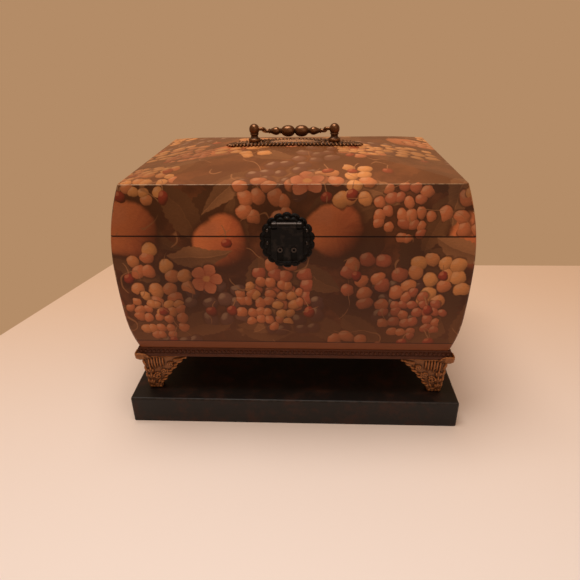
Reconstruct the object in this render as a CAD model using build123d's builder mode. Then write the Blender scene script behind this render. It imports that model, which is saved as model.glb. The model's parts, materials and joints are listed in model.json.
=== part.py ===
from build123d import *
import os
from math import asin, cos, degrees, pi, radians, sin, sqrt

# A lidded keepsake box with four bowed sides and an arched lid, on leaf-cast feet and a board.
# X runs along the box, Y from the front (minus) to the back (plus), Z up. Millimetres.
# The origin is the middle of the board's underside, on the table.

# Box body: sizes of the bowed outline and of the boards behind it
belly_width = 282.8
belly_depth = 202.4
wall_stock = 18.4
case_height = 104.9
belly_height = 78.5
lid_side_height = 37.7
lid_rise = 12.5
lid_top_thickness = 8.0
joint_gap = 0.4
upper_bow_radius = 205.0
lower_bow_radius = 800.0
foot_bow_radius = 150.0
foot_bow_height = 33.5
corner_round = 3.0
top_edge_round = 0.8

# Board, feet and moulding below the box
plinth_height = 25.5
plinth_side_margin = 4.1
plinth_front_margin = 6.4
plinth_edge_round = 2.0
foot_height = 37.0
foot_arm_length = 39.5
foot_thickness = 7.5
foot_toe_spread = 3.0
foot_curve = 1.25
foot_stations = 6
foot_top_setback = 1.0
foot_toe_setback = 3.3
foot_curl_reach = 9.0
foot_curl_rise = 4.4
foot_curl_drop = 1.2
foot_curl_thickness = 1.3
foot_curl_round = 2.5
foot_curl_gap = 0.1
foot_web_leg = 24.0
foot_web_thickness = 4.0
moulding_height = 9.0
moulding_nose = 2.8
moulding_lap = 6.6
moulding_undercut = 2.0

# Lining
lining_thickness = 1.5
lining_gap = 0.2
lining_reveal = 6.0

# Hinges in the back
hinge_spacing = 150.0
hinge_length = 30.0
hinge_reach = 15.0
hinge_leaf_thickness = 1.4
knuckle_radius = 2.4
hinge_pin_radius = 1.1
knuckle_gap = 0.25
hinge_tail_reach = 2.6
hinge_tail_thickness = 1.3
lid_opening_angle = 95.0
stop_gap = 0.15

# Clasp in the front
clasp_x = -2.5
clasp_width = 43.2
clasp_height = 43.4
clasp_centre_drop = 3.2
clasp_plate_thickness = 1.0
scallop_radius = 3.9
scallop_count = 18
barrel_rise = 9.9
barrel_gap = 0.5
barrel_proud = 0.8
barrel_length = 22.5
barrel_middle = 14.8
barrel_pin_radius = 0.9
barrel_web = 1.6
flap_width = 23.8
flap_drop = 30.2
flap_thickness = 1.0
flap_gap = 0.35
flap_corner = 8.0
curl_radius = 1.2
curl_length = 1.1
stud_spacing = 10.6
stud_drop = 9.2
stud_radius = 2.1
stud_bore = 0.9
stud_proud = 0.6
stud_depth = 4.0
nail_spacing = 29.8
nail_from_joint = 4.8
nail_top_rise = 13.7
nail_head_radius = 1.4
nail_head_height = 0.8
nail_radius = 0.7
nail_length = 9.0

# Handle on the lid
plate_length = 123.0
plate_depth = 28.0
plate_thickness = 3.0
plate_lobe_radius = 5.6
plate_lobe_count = 9
plate_tip_radius = 3.5
post_spacing = 70.6
post_ball_radius = 4.45
post_neck_radius = 3.3
post_base_radius = 4.9
post_base_height = 1.8
post_pivot_height = 9.4
bail_wire_radius = 1.5
bail_pin_overrun = 1.2
bail_depth = 13.3
bail_arm_gap = 2.4
bail_bend_radius = 3.0
bail_bead_radius = 5.4
bail_bead_length = 12.4
bail_spindle_radius = 3.5
bail_spindle_length = 10.6
bail_spindle_peak = 0.4
bail_neck_length = 0.75
bail_collar_radius = 2.3
bail_rest_gap = 0.3

# Screws
board_screw_radius = 1.6
board_screw_grip = 9.0
foot_screw_radius = 1.5
foot_screw_grip = 6.5
hinge_screw_radius = 0.95
hinge_screw_length = 10.0
hinge_screw_spacing = 10.0
handle_screw_radius = 1.6
handle_screw_grip = 5.0
screw_head_share = 2.0
screw_slot_share = 0.4

# Fits
running_clearance = 0.05
seat_clearance = 0.05
swing_clearance = 0.3

# Heights, built up from the table
plinth_top = plinth_height
moulding_bottom = plinth_top + foot_height
wall_foot = moulding_bottom + moulding_height
case_rim = wall_foot + case_height
lid_rim = case_rim + joint_gap
joint_height = (case_rim + lid_rim) / 2
lid_edge = lid_rim + lid_side_height
lid_ridge = lid_edge + lid_rise
belly_level = wall_foot + belly_height
bend_level = wall_foot + foot_bow_height

# Half sizes in plan
half_width = belly_width / 2
half_depth = belly_depth / 2
inner_half_width = half_width - wall_stock
inner_half_depth = half_depth - wall_stock
reach = half_width + half_depth


def inset(height):
    """How far the bowed face stands in from the belly at a height."""
    if height >= belly_level:
        return upper_bow_radius - sqrt(upper_bow_radius**2 - (height - belly_level)**2)
    if height >= bend_level:
        return lower_bow_radius - sqrt(lower_bow_radius**2 - (belly_level - height)**2)
    lean = (belly_level - bend_level) / lower_bow_radius
    tighter_lean = lean + (bend_level - height) / foot_bow_radius
    tighter_inset = foot_bow_radius * (cos(asin(lean)) - cos(asin(tighter_lean)))
    return lower_bow_radius * (1 - cos(asin(lean))) + tighter_inset


foot_half_width = half_width - inset(wall_foot)
foot_half_depth = half_depth - inset(wall_foot)
rim_half_depth = half_depth - inset(joint_height)
edge_half_width = half_width - inset(lid_edge)
edge_half_depth = half_depth - inset(lid_edge)
long_arch_radius = (edge_half_width**2 + lid_rise**2) / (2 * lid_rise)
cross_arch_radius = (edge_half_depth**2 + lid_rise**2) / (2 * lid_rise)


def arch_height(radius, off_centre, below=0.0):
    """Height of one of the top's two arches off its centre, or of a face some way below it."""
    return lid_ridge - radius + sqrt((radius - below)**2 - off_centre**2)


def bowed_arcs(half_span, low, high):
    """Arcs of one bowed side between two heights; a negative half span gives the opposite side."""
    levels = [low] + [level for level in (bend_level, belly_level) if low < level < high] + [high]
    side = 1 if half_span > 0 else -1
    for start, end in zip(levels, levels[1:]):
        heights = (start, (start + end) / 2, end)
        ThreePointArc(*[(half_span - side * inset(height), height) for height in heights])


def block_outline(half_span):
    """Closed outline of the whole bowed block, seen along one plan direction."""
    foot_span = half_span - inset(wall_foot)
    top_span = half_span - inset(lid_ridge)
    Line((-foot_span, wall_foot), (foot_span, wall_foot))
    bowed_arcs(half_span, wall_foot, lid_ridge)
    bowed_arcs(-half_span, wall_foot, lid_ridge)
    Line((top_span, lid_ridge), (-top_span, lid_ridge))


def moulding_outline(half_span):
    """Closed outline of the base moulding, with its rounded nose on both sides."""
    foot_span = half_span - inset(wall_foot)
    nose_span = foot_span + moulding_nose
    under_span = nose_span - moulding_undercut
    middle = (moulding_bottom + wall_foot) / 2
    Line((-foot_span, wall_foot), (foot_span, wall_foot))
    ThreePointArc((foot_span, wall_foot), (nose_span, middle), (under_span, moulding_bottom))
    Line((under_span, moulding_bottom), (-under_span, moulding_bottom))
    ThreePointArc((-under_span, moulding_bottom), (-nose_span, middle), (-foot_span, wall_foot))


def crossed_block(draw_outline):
    """The form that has the outline both along the box and across it."""
    with BuildPart() as crossed:
        with BuildSketch(Plane.XZ):
            with BuildLine():
                draw_outline(half_width)
            make_face()
        extrude(amount=reach, both=True)
        with BuildSketch(Plane.YZ):
            with BuildLine():
                draw_outline(half_depth)
            make_face()
        extrude(amount=reach, both=True, mode=Mode.INTERSECT)
    return crossed.part


def arch_spaces(below):
    """The space below a face that lies some way under each of the top's two arches."""
    spaces = []
    directions = (
        (Plane.YZ, half_depth, cross_arch_radius),
        (Plane.XZ, half_width, long_arch_radius),
    )
    for plane, half_span, radius in directions:
        ceiling = [(span, arch_height(radius, span, below)) for span in (-half_span, 0, half_span)]
        with BuildPart() as space:
            with BuildSketch(plane):
                with BuildLine():
                    ThreePointArc(*ceiling)
                    Polyline(ceiling[2], (half_span, 0), (-half_span, 0), ceiling[0])
                make_face()
            extrude(amount=reach, both=True)
        spaces.append(space.part)
    return spaces


def under_arch(below):
    """All the space below a face some way under the cushion top, which is arched along and across."""
    lengthwise, crosswise = arch_spaces(below)
    with BuildPart() as space:
        add(lengthwise)
        add(crosswise, mode=Mode.INTERSECT)
    return space.part


def arched_slab(above, below):
    """A slab that follows the cushion top, from some way above it to some way below it."""
    with BuildPart() as slab:
        add(under_arch(-above))
        add(under_arch(below), mode=Mode.SUBTRACT)
    return slab.part


def mitre_prism(side, low, high):
    """Space of the wall on one side, between its mitre lines and outside the flat inner face."""
    spare = wall_stock + moulding_nose
    x = inner_half_width
    y = inner_half_depth
    far_x = x + spare
    far_y = y + spare
    plans = {
        "front": [(-x, -y), (x, -y), (far_x, -far_y), (-far_x, -far_y)],
        "back": [(-x, y), (x, y), (far_x, far_y), (-far_x, far_y)],
        "left": [(-x, -y), (-x, y), (-far_x, far_y), (-far_x, -far_y)],
        "right": [(x, -y), (x, y), (far_x, far_y), (far_x, -far_y)],
    }
    with BuildPart() as prism:
        with BuildSketch(Plane.XY.offset(low)):
            with BuildLine():
                Polyline(*plans[side], close=True)
            make_face()
        extrude(amount=high - low)
    return prism.part


def countersunk_screws(spots, radius, length):
    """Flat-headed screws, each with its head's face at its spot and its shank along local minus Z."""
    head_radius = radius * screw_head_share
    slot = radius * screw_slot_share
    with BuildPart() as screws:
        with Locations(*spots):
            Cylinder(radius, length, align=(Align.CENTER, Align.CENTER, Align.MAX))
            Cone(radius, head_radius, head_radius - radius, align=(Align.CENTER, Align.CENTER, Align.MAX))
            Box(2 * head_radius, slot, 2 * slot, mode=Mode.SUBTRACT)
    return screws


def round_head_screws(spots, radius, length):
    """Round-headed screws, each with its head outside its spot and its shank along local minus Z."""
    head_radius = radius * screw_head_share
    slot = radius * screw_slot_share
    with BuildPart() as screws:
        with Locations(*spots):
            Cylinder(radius, length, align=(Align.CENTER, Align.CENTER, Align.MAX))
            Cylinder(head_radius, radius, align=(Align.CENTER, Align.CENTER, Align.MIN))
        fillet(screws.edges().filter_by(GeomType.CIRCLE).group_by(Axis.Z)[0], radius=slot)
        with Locations(*[spot * Pos(0, 0, radius) for spot in spots]):
            Box(2 * head_radius, slot, slot, mode=Mode.SUBTRACT)
    return screws


def finish(piece, name):
    """Name a finished piece and write it."""
    piece.part.label = name
    export_step(piece.part, f"parts/{name}.step")


os.makedirs("parts", exist_ok=True)
sides = ("front", "back", "left", "right")

# The bowed block: the outer form of case and lid in one, from which the boards are cut
with BuildPart() as block:
    add(crossed_block(block_outline))
    upright_edges = [edge for edge in block.edges() if edge.bounding_box().size.Z > joint_gap]
    fillet(upright_edges, radius=corner_round)
    add(under_arch(0), mode=Mode.INTERSECT)
    rim_edges = [edge for edge in block.edges() if abs(edge.center().Z - lid_edge) < joint_gap]
    fillet(rim_edges, radius=top_edge_round)

# Board under the box, with its four screws up into the feet
toe_width = foot_thickness + foot_toe_spread
toe_x = foot_half_width - foot_toe_setback - toe_width / 2
toe_y = foot_half_depth - foot_toe_setback - toe_width / 2
toe_spots = [Location((x, y, 0), (180, 0, 0)) for x in (-toe_x, toe_x) for y in (-toe_y, toe_y)]

with BuildPart() as plinth:
    with BuildSketch():
        Rectangle(belly_width + 2 * plinth_side_margin, belly_depth + 2 * plinth_front_margin)
    extrude(amount=plinth_height)
    fillet(plinth.edges().filter_by(Axis.Z), radius=plinth_edge_round)
    fillet(plinth.faces().sort_by(Axis.Z)[-1].edges(), radius=plinth_edge_round)
    with Locations(*toe_spots):
        CounterSinkHole(
            board_screw_radius + seat_clearance,
            board_screw_radius * screw_head_share + seat_clearance,
            counter_sink_angle=90,
        )
finish(plinth, "plinth")

plinth_screws = countersunk_screws(toe_spots, board_screw_radius, plinth_height + board_screw_grip)
finish(plinth_screws, "plinth_screws")

# Feet: two arms at a right angle that narrow to a toe, a tip that curls up round the moulding's corner,
# and a three-cornered web with a screw through its middle
web_corner_x = foot_half_width - foot_top_setback - foot_thickness
web_corner_y = foot_half_depth - foot_top_setback - foot_thickness
web_screw_x = web_corner_x - foot_web_leg / 3
web_screw_y = web_corner_y - foot_web_leg / 3
web_bottom = moulding_bottom - foot_web_thickness
foot_curl_outset = moulding_nose + foot_curl_gap + foot_curl_thickness - foot_curl_reach / 2
foot_curl_x = foot_half_width + foot_curl_outset
foot_curl_y = foot_half_depth + foot_curl_outset
foot_pocket_x = foot_curl_x - foot_curl_thickness
foot_pocket_y = foot_curl_y - foot_curl_thickness


def corner_foot(x_side, y_side):
    """One foot; the sides are 1 or minus 1 for the corner that it stands at."""
    with BuildPart() as foot:
        for station in range(foot_stations):
            share = station / (foot_stations - 1)
            setback = foot_toe_setback + (foot_top_setback - foot_toe_setback) * share
            arm = toe_width + (foot_arm_length - toe_width) * share**foot_curve
            x = foot_half_width - setback
            y = foot_half_depth - setback
            inner_x = x - foot_thickness
            inner_y = y - foot_thickness
            plan = [(x, y), (x - arm, y), (x - arm, inner_y), (inner_x, inner_y), (inner_x, y - arm), (x, y - arm)]
            with BuildSketch(Plane.XY.offset(plinth_top + foot_height * share)):
                with BuildLine():
                    Polyline(*[(x_side * px, y_side * py) for px, py in plan], close=True)
                make_face()
        loft(ruled=True)
        with BuildSketch(Plane.XY.offset(moulding_bottom - foot_curl_drop)):
            with Locations((x_side * foot_curl_x, y_side * foot_curl_y)):
                RectangleRounded(foot_curl_reach, foot_curl_reach, foot_curl_round)
        extrude(amount=foot_curl_drop + foot_curl_rise)
        with BuildSketch(Plane.XY.offset(moulding_bottom)):
            with Locations((x_side * foot_pocket_x, y_side * foot_pocket_y)):
                Rectangle(foot_curl_reach, foot_curl_reach)
        extrude(amount=foot_curl_rise, mode=Mode.SUBTRACT)
        web = [
            (web_corner_x, web_corner_y),
            (web_corner_x - foot_web_leg, web_corner_y),
            (web_corner_x, web_corner_y - foot_web_leg),
        ]
        with BuildSketch(Plane.XY.offset(web_bottom)):
            with BuildLine():
                Polyline(*[(x_side * px, y_side * py) for px, py in web], close=True)
            make_face()
        extrude(amount=foot_web_thickness)
        with Locations((x_side * web_screw_x, y_side * web_screw_y, web_bottom)):
            Cylinder(
                foot_screw_radius + seat_clearance,
                foot_web_thickness,
                align=(Align.CENTER, Align.CENTER, Align.MIN),
                mode=Mode.SUBTRACT,
            )
        with Locations((x_side * toe_x, y_side * toe_y, plinth_top)):
            Cylinder(
                board_screw_radius + seat_clearance,
                board_screw_grip,
                align=(Align.CENTER, Align.CENTER, Align.MIN),
                mode=Mode.SUBTRACT,
            )
    return foot


for y_name, y_side in (("front", -1), ("back", 1)):
    for x_name, x_side in (("left", -1), ("right", 1)):
        finish(corner_foot(x_side, y_side), f"foot_{y_name}_{x_name}")

web_spots = [
    Location((x, y, web_bottom), (180, 0, 0))
    for x in (-web_screw_x, web_screw_x)
    for y in (-web_screw_y, web_screw_y)
]
foot_screws = round_head_screws(web_spots, foot_screw_radius, foot_web_thickness + foot_screw_grip)
finish(foot_screws, "foot_screws")

# Bottom board, and the moulding strips round its edge
board_half_width = foot_half_width - moulding_lap
board_half_depth = foot_half_depth - moulding_lap

with BuildPart() as case_bottom:
    with BuildSketch(Plane.XY.offset(moulding_bottom)):
        Rectangle(2 * board_half_width, 2 * board_half_depth)
    extrude(amount=moulding_height)
    with Locations(*[Pos(0, 0, foot_web_thickness) * spot for spot in web_spots]):
        Cylinder(
            foot_screw_radius + seat_clearance,
            foot_screw_grip,
            align=(Align.CENTER, Align.CENTER, Align.MAX),
            mode=Mode.SUBTRACT,
        )
finish(case_bottom, "case_bottom")

with BuildPart() as moulding_ring:
    add(crossed_block(moulding_outline))
    with BuildSketch(Plane.XY.offset(moulding_bottom)):
        Rectangle(2 * board_half_width, 2 * board_half_depth)
    extrude(amount=moulding_height, mode=Mode.SUBTRACT)

for side in sides:
    with BuildPart() as strip:
        add(moulding_ring.part)
        add(mitre_prism(side, moulding_bottom, wall_foot), mode=Mode.INTERSECT)
    finish(strip, f"base_moulding_{side}")

# Hinges: two outer knuckles on the case's leaf, one middle knuckle on the lid's, and tails that meet
# behind the barrel when the lid is open
hinge_y = rim_half_depth + knuckle_radius + knuckle_gap
hinge_screw_y = (hinge_y - hinge_reach + rim_half_depth) / 2
third = hinge_length / 3
hinge_places = (("left", -hinge_spacing / 2), ("right", hinge_spacing / 2))


def hinge_spots(centre_x, rim, turn):
    """Places of one leaf's screw heads, on the rim that the leaf lies in."""
    offsets = (-hinge_screw_spacing, 0, hinge_screw_spacing)
    return [Location((centre_x + offset, hinge_screw_y, rim), (turn, 0, 0)) for offset in offsets]


def hinge_leaf(centre_x, upward):
    """One hinge leaf with its knuckles and tail; upward is 1 for the lid's leaf, -1 for the case's."""
    rim = lid_rim if upward > 0 else case_rim
    own = (0,) if upward > 0 else (-third, third)
    others = (-third, third) if upward > 0 else (0,)
    stop = radians(lid_opening_angle / 2)

    def behind(radius, offset):
        """A point behind the barrel, at a radius along the stop plane and an offset away from it."""
        across = radius * cos(stop) - offset * sin(stop)
        rise = radius * sin(stop) + offset * cos(stop)
        return (hinge_y + across, joint_height + upward * rise)

    def tail_section(first_radius):
        """Corners of the tail's section from a first radius outwards."""
        last_radius = knuckle_radius + hinge_tail_reach
        outer = stop_gap + hinge_tail_thickness
        return [
            behind(first_radius, stop_gap),
            behind(last_radius, stop_gap),
            behind(last_radius, outer),
            behind(first_radius, outer),
        ]

    with BuildPart() as leaf:
        with BuildSketch(Plane.XY.offset(rim)):
            with Locations((centre_x, hinge_y - hinge_reach / 2)):
                Rectangle(hinge_length, hinge_reach)
        extrude(amount=upward * hinge_leaf_thickness)
        for shift in others:
            with BuildSketch(Plane.YZ.offset(centre_x + shift - third / 2 - knuckle_gap / 2)):
                with Locations((hinge_y, joint_height)):
                    Circle(knuckle_radius + knuckle_gap)
            extrude(amount=third + knuckle_gap, mode=Mode.SUBTRACT)
        for shift in own:
            with BuildSketch(Plane.YZ.offset(centre_x + shift - third / 2 + knuckle_gap / 2)):
                with Locations((hinge_y, joint_height)):
                    Circle(knuckle_radius)
                with BuildLine():
                    Polyline(*tail_section(hinge_pin_radius), close=True)
                make_face()
            extrude(amount=third - knuckle_gap)
        with BuildSketch(Plane.YZ.offset(centre_x - hinge_length / 2)):
            with BuildLine():
                Polyline(*tail_section(knuckle_radius + knuckle_gap), close=True)
            make_face()
        extrude(amount=hinge_length)
        with BuildSketch(Plane.YZ.offset(centre_x - hinge_length / 2)):
            with Locations((hinge_y, joint_height)):
                Circle(hinge_pin_radius + running_clearance)
        extrude(amount=hinge_length, mode=Mode.SUBTRACT)
        with Locations(*hinge_spots(centre_x, rim, 0 if upward < 0 else 180)):
            CounterSinkHole(
                hinge_screw_radius + seat_clearance,
                hinge_screw_radius * screw_head_share + seat_clearance,
                depth=2 * hinge_leaf_thickness,
                counter_sink_angle=90,
            )
    return leaf


for name, centre_x in hinge_places:
    finish(hinge_leaf(centre_x, -1), f"hinge_case_leaf_{name}")
    finish(hinge_leaf(centre_x, 1), f"hinge_lid_leaf_{name}")
    with BuildPart() as hinge_pin:
        with BuildSketch(Plane.YZ.offset(centre_x - hinge_length / 2)):
            with Locations((hinge_y, joint_height)):
                Circle(hinge_pin_radius)
        extrude(amount=hinge_length)
    finish(hinge_pin, f"hinge_pin_{name}")

case_hinge_spots = [spot for name, x in hinge_places for spot in hinge_spots(x, case_rim, 0)]
lid_hinge_spots = [spot for name, x in hinge_places for spot in hinge_spots(x, lid_rim, 180)]
finish(countersunk_screws(case_hinge_spots, hinge_screw_radius, hinge_screw_length), "hinge_case_screws")
finish(countersunk_screws(lid_hinge_spots, hinge_screw_radius, hinge_screw_length), "hinge_lid_screws")


def hinge_seats(upward):
    """Recesses for both hinge leaves and their screws, in the case's rim or in the lid's."""
    rim = lid_rim if upward > 0 else case_rim
    spots = lid_hinge_spots if upward > 0 else case_hinge_spots
    with BuildPart() as seats:
        with BuildSketch(Plane.XY.offset(rim)):
            with Locations(*[(x, hinge_y - hinge_reach / 2) for name, x in hinge_places]):
                Rectangle(hinge_length + 2 * seat_clearance, hinge_reach + 2 * seat_clearance)
        extrude(amount=upward * hinge_leaf_thickness)
        with Locations(*spots):
            Cylinder(
                hinge_screw_radius + seat_clearance,
                hinge_screw_length + seat_clearance,
                align=(Align.CENTER, Align.CENTER, Align.MAX),
            )
    return seats.part


def front_face(height):
    """Y of the box's bowed front at a height."""
    return inset(height) - half_depth


# Clasp: levels and places that its pieces share; the flap hangs clear of the belly, and its barrel
# fills the space between the plate and the flap's front, and stands a little proud of the flap
clasp_z = joint_height - clasp_centre_drop
barrel_z = joint_height + barrel_rise
flap_bottom = barrel_z - flap_drop
stud_z = joint_height - stud_drop
flap_back = -(half_depth + clasp_plate_thickness + flap_gap)
flap_front = flap_back - flap_thickness
barrel_back = front_face(barrel_z) - clasp_plate_thickness - barrel_gap
barrel_radius = (barrel_back - flap_front + barrel_proud) / 2
barrel_y = barrel_back - barrel_radius
stud_tip = flap_front - stud_proud
stud_spots = [(clasp_x + side * stud_spacing / 2, stud_z) for side in (-1, 1)]
lower_nail_spots = [(clasp_x + side * nail_spacing / 2, joint_height - nail_from_joint) for side in (-1, 1)]
upper_nail_spots = [(clasp_x + side * nail_spacing / 2, joint_height + nail_from_joint) for side in (-1, 1)]
upper_nail_spots.append((clasp_x, joint_height + nail_top_rise))


def front_lean(height):
    """Degrees by which the bowed front faces upwards at a height, or downwards where negative."""
    bow_radius = upper_bow_radius if height > belly_level else lower_bow_radius
    return degrees(asin((height - belly_level) / bow_radius))


def nail_places(spots):
    """Where each nail's head meets the clasp's plate, with local Z square out of the plate."""
    return [
        Location((x, front_face(z) - clasp_plate_thickness, z), (90 - front_lean(z), 0, 0))
        for x, z in spots
    ]


def nail_holes(spots):
    """Round holes for the nails, through the plate and into the wood."""
    with BuildPart() as holes:
        with Locations(*nail_places(spots)):
            Cylinder(nail_radius + seat_clearance, nail_length + seat_clearance,
                     align=(Align.CENTER, Align.CENTER, Align.MAX))
            Cylinder(nail_radius + seat_clearance, clasp_plate_thickness)
    return holes.part


def clasp_plate(low, high):
    """One half of the scalloped plate, bent to the bowed front."""
    half_span = half_depth + clasp_plate_thickness
    with BuildPart() as plate:
        with BuildSketch(Plane.YZ):
            with BuildLine():
                bowed_arcs(-half_depth, low, high)
                bowed_arcs(-half_span, low, high)
                Line((inset(low) - half_depth, low), (inset(low) - half_span, low))
                Line((inset(high) - half_depth, high), (inset(high) - half_span, high))
            make_face()
        extrude(amount=reach, both=True)
        radius_x = clasp_width / 2 - scallop_radius
        radius_z = clasp_height / 2 - scallop_radius
        with BuildSketch(Plane.XZ):
            with Locations((clasp_x, clasp_z)):
                Ellipse(radius_x, radius_z)
            for scallop in range(scallop_count):
                turn = 2 * pi * scallop / scallop_count
                with Locations((clasp_x + radius_x * sin(turn), clasp_z + radius_z * cos(turn))):
                    Circle(scallop_radius)
        extrude(amount=reach, mode=Mode.INTERSECT)
    return plate.part


with BuildPart() as clasp_lower_plate:
    add(clasp_plate(joint_height - clasp_height, case_rim))
    add(nail_holes(lower_nail_spots), mode=Mode.SUBTRACT)
    with BuildSketch(Plane.XZ):
        with Locations(*stud_spots):
            Circle(stud_radius + seat_clearance)
    extrude(amount=reach, mode=Mode.SUBTRACT)
finish(clasp_lower_plate, "clasp_lower_plate")

with BuildPart() as clasp_upper_plate:
    add(clasp_plate(lid_rim, joint_height + clasp_height / 2))
    add(nail_holes(upper_nail_spots), mode=Mode.SUBTRACT)
    ear_length = (barrel_length - barrel_middle) / 2 - knuckle_gap
    web_end = front_face(barrel_z) - clasp_plate_thickness / 2
    for ear_start in (clasp_x - barrel_length / 2, clasp_x + barrel_length / 2 - ear_length):
        with BuildSketch(Plane.YZ.offset(ear_start)):
            with Locations((barrel_y, barrel_z)):
                Circle(barrel_radius)
            with Locations(((barrel_y + web_end) / 2, barrel_z)):
                Rectangle(web_end - barrel_y, barrel_web)
        extrude(amount=ear_length)
    with BuildSketch(Plane.YZ.offset(clasp_x - barrel_length / 2)):
        with Locations((barrel_y, barrel_z)):
            Circle(barrel_pin_radius + seat_clearance)
    extrude(amount=barrel_length, mode=Mode.SUBTRACT)
finish(clasp_upper_plate, "clasp_upper_plate")

with BuildPart() as clasp_pin:
    with BuildSketch(Plane.YZ.offset(clasp_x - barrel_length / 2)):
        with Locations((barrel_y, barrel_z)):
            Circle(barrel_pin_radius)
    extrude(amount=barrel_length)
finish(clasp_pin, "clasp_pin")

with BuildPart() as clasp_flap:
    curl_y = flap_front - curl_radius
    curl_outer = curl_radius + flap_thickness
    curl_z = flap_bottom + curl_outer
    lip_end = curl_y - curl_length
    slant = sqrt(0.5)
    with BuildSketch(Plane.YZ):
        with BuildLine():
            Line((flap_back, barrel_z), (flap_back, curl_z))
            ThreePointArc(
                (flap_back, curl_z),
                (curl_y + curl_outer * slant, curl_z - curl_outer * slant),
                (curl_y, flap_bottom),
            )
            Polyline(
                (curl_y, flap_bottom),
                (lip_end, flap_bottom),
                (lip_end, flap_bottom + flap_thickness),
                (curl_y, flap_bottom + flap_thickness),
            )
            ThreePointArc(
                (curl_y, flap_bottom + flap_thickness),
                (curl_y + curl_radius * slant, curl_z - curl_radius * slant),
                (flap_front, curl_z),
            )
            Polyline((flap_front, curl_z), (flap_front, barrel_z), (flap_back, barrel_z))
        make_face()
    extrude(amount=reach, both=True)
    shoulder_z = barrel_z - barrel_radius - flap_gap
    with BuildSketch(Plane.XZ) as flap_outline:
        with Locations((clasp_x, (shoulder_z + flap_bottom) / 2)):
            Rectangle(flap_width, shoulder_z - flap_bottom)
        fillet(flap_outline.vertices().group_by(Axis.Y)[0], radius=flap_corner)
        with Locations((clasp_x, (barrel_z + flap_bottom) / 2)):
            Rectangle(barrel_middle, barrel_z - flap_bottom)
    extrude(amount=reach, mode=Mode.INTERSECT)
    with BuildSketch(Plane.YZ.offset(clasp_x - barrel_middle / 2)):
        with Locations((barrel_y, barrel_z)):
            Circle(barrel_radius)
    extrude(amount=barrel_middle)
    with BuildSketch(Plane.YZ.offset(clasp_x - barrel_middle / 2)):
        with Locations((barrel_y, barrel_z)):
            Circle(barrel_pin_radius + running_clearance)
    extrude(amount=barrel_middle, mode=Mode.SUBTRACT)
    slot_radius = stud_radius + swing_clearance
    slot_length = stud_z - flap_bottom
    with BuildSketch(Plane.XZ.offset(-flap_back)):
        with Locations(*stud_spots):
            Circle(slot_radius)
        with Locations(*[(x, z - slot_length / 2) for x, z in stud_spots]):
            Rectangle(2 * slot_radius, slot_length)
    extrude(amount=flap_back - stud_tip + swing_clearance, mode=Mode.SUBTRACT)
finish(clasp_flap, "clasp_flap")

with BuildPart() as clasp_studs:
    with BuildSketch(Plane.XZ.offset(-stud_tip)):
        with Locations(*stud_spots):
            Circle(stud_radius)
            Circle(stud_bore, mode=Mode.SUBTRACT)
    extrude(amount=stud_tip - front_face(stud_z) - stud_depth)
finish(clasp_studs, "clasp_studs")


def domed_nails(spots):
    """Nails with domed heads on the clasp's plate, driven into the wood."""
    dome_radius = (nail_head_radius**2 + nail_head_height**2) / (2 * nail_head_height)
    dome_centre = nail_head_height - dome_radius
    cap_angle = degrees(asin(-dome_centre / dome_radius))
    places = nail_places(spots)
    with BuildPart() as nails:
        with Locations(*places):
            Cylinder(nail_radius, nail_length, align=(Align.CENTER, Align.CENTER, Align.MAX))
        with Locations(*[place * Pos(0, 0, dome_centre) for place in places]):
            Sphere(dome_radius, arc_size1=cap_angle, align=None)
    return nails


finish(domed_nails(lower_nail_spots), "clasp_lower_nails")
finish(domed_nails(upper_nail_spots), "clasp_upper_nails")

# Case walls and lid walls, each with the recesses of the hardware that it carries
with BuildPart() as case_front_cuts:
    add(nail_holes(lower_nail_spots))
    with BuildSketch(Plane.XZ.offset(-front_face(stud_z) - stud_depth)):
        with Locations(*stud_spots):
            Circle(stud_radius + seat_clearance)
    extrude(amount=2 * stud_depth)

case_cuts = {"front": case_front_cuts.part, "back": hinge_seats(-1)}
lid_cuts = {"front": nail_holes(upper_nail_spots), "back": hinge_seats(1)}

for side in sides:
    with BuildPart() as case_wall:
        add(block.part)
        add(mitre_prism(side, wall_foot, case_rim), mode=Mode.INTERSECT)
        if side in case_cuts:
            add(case_cuts[side], mode=Mode.SUBTRACT)
    finish(case_wall, f"case_{side}")
    with BuildPart() as lid_wall:
        add(block.part)
        add(mitre_prism(side, lid_rim, lid_ridge), mode=Mode.INTERSECT)
        for space in arch_spaces(lid_top_thickness):
            add(space, mode=Mode.INTERSECT)
        if side in lid_cuts:
            add(lid_cuts[side], mode=Mode.SUBTRACT)
    finish(lid_wall, f"lid_{side}")

# Arched top board of the lid, with a hole under each handle post
post_places = (("left", -post_spacing / 2), ("right", post_spacing / 2))
post_points = [(x, 0) for name, x in post_places]

with BuildPart() as lid_top:
    add(block.part)
    add(arched_slab(0, lid_top_thickness), mode=Mode.INTERSECT)
    with BuildSketch(Plane.XY.offset(lid_ridge)):
        with Locations(*post_points):
            Circle(handle_screw_radius + seat_clearance)
    extrude(amount=-2 * lid_top_thickness, mode=Mode.SUBTRACT)
finish(lid_top, "lid_top")

# Lining of the case: a floor piece and four wall pieces
lining_half_width = inner_half_width - lining_gap
lining_half_depth = inner_half_depth - lining_gap


def lining_plan():
    """Plan of four lining pieces that stand against the walls, clear of each other."""
    side_width = 2 * (lining_half_depth - lining_thickness - lining_gap)
    with Locations((0, lining_half_depth - lining_thickness / 2), (0, lining_thickness / 2 - lining_half_depth)):
        Rectangle(2 * lining_half_width, lining_thickness)
    with Locations((lining_half_width - lining_thickness / 2, 0), (lining_thickness / 2 - lining_half_width, 0)):
        Rectangle(lining_thickness, side_width)


with BuildPart() as case_floor_lining:
    with BuildSketch(Plane.XY.offset(wall_foot)):
        Rectangle(2 * lining_half_width, 2 * lining_half_depth)
    extrude(amount=lining_thickness)
finish(case_floor_lining, "case_floor_lining")

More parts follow.
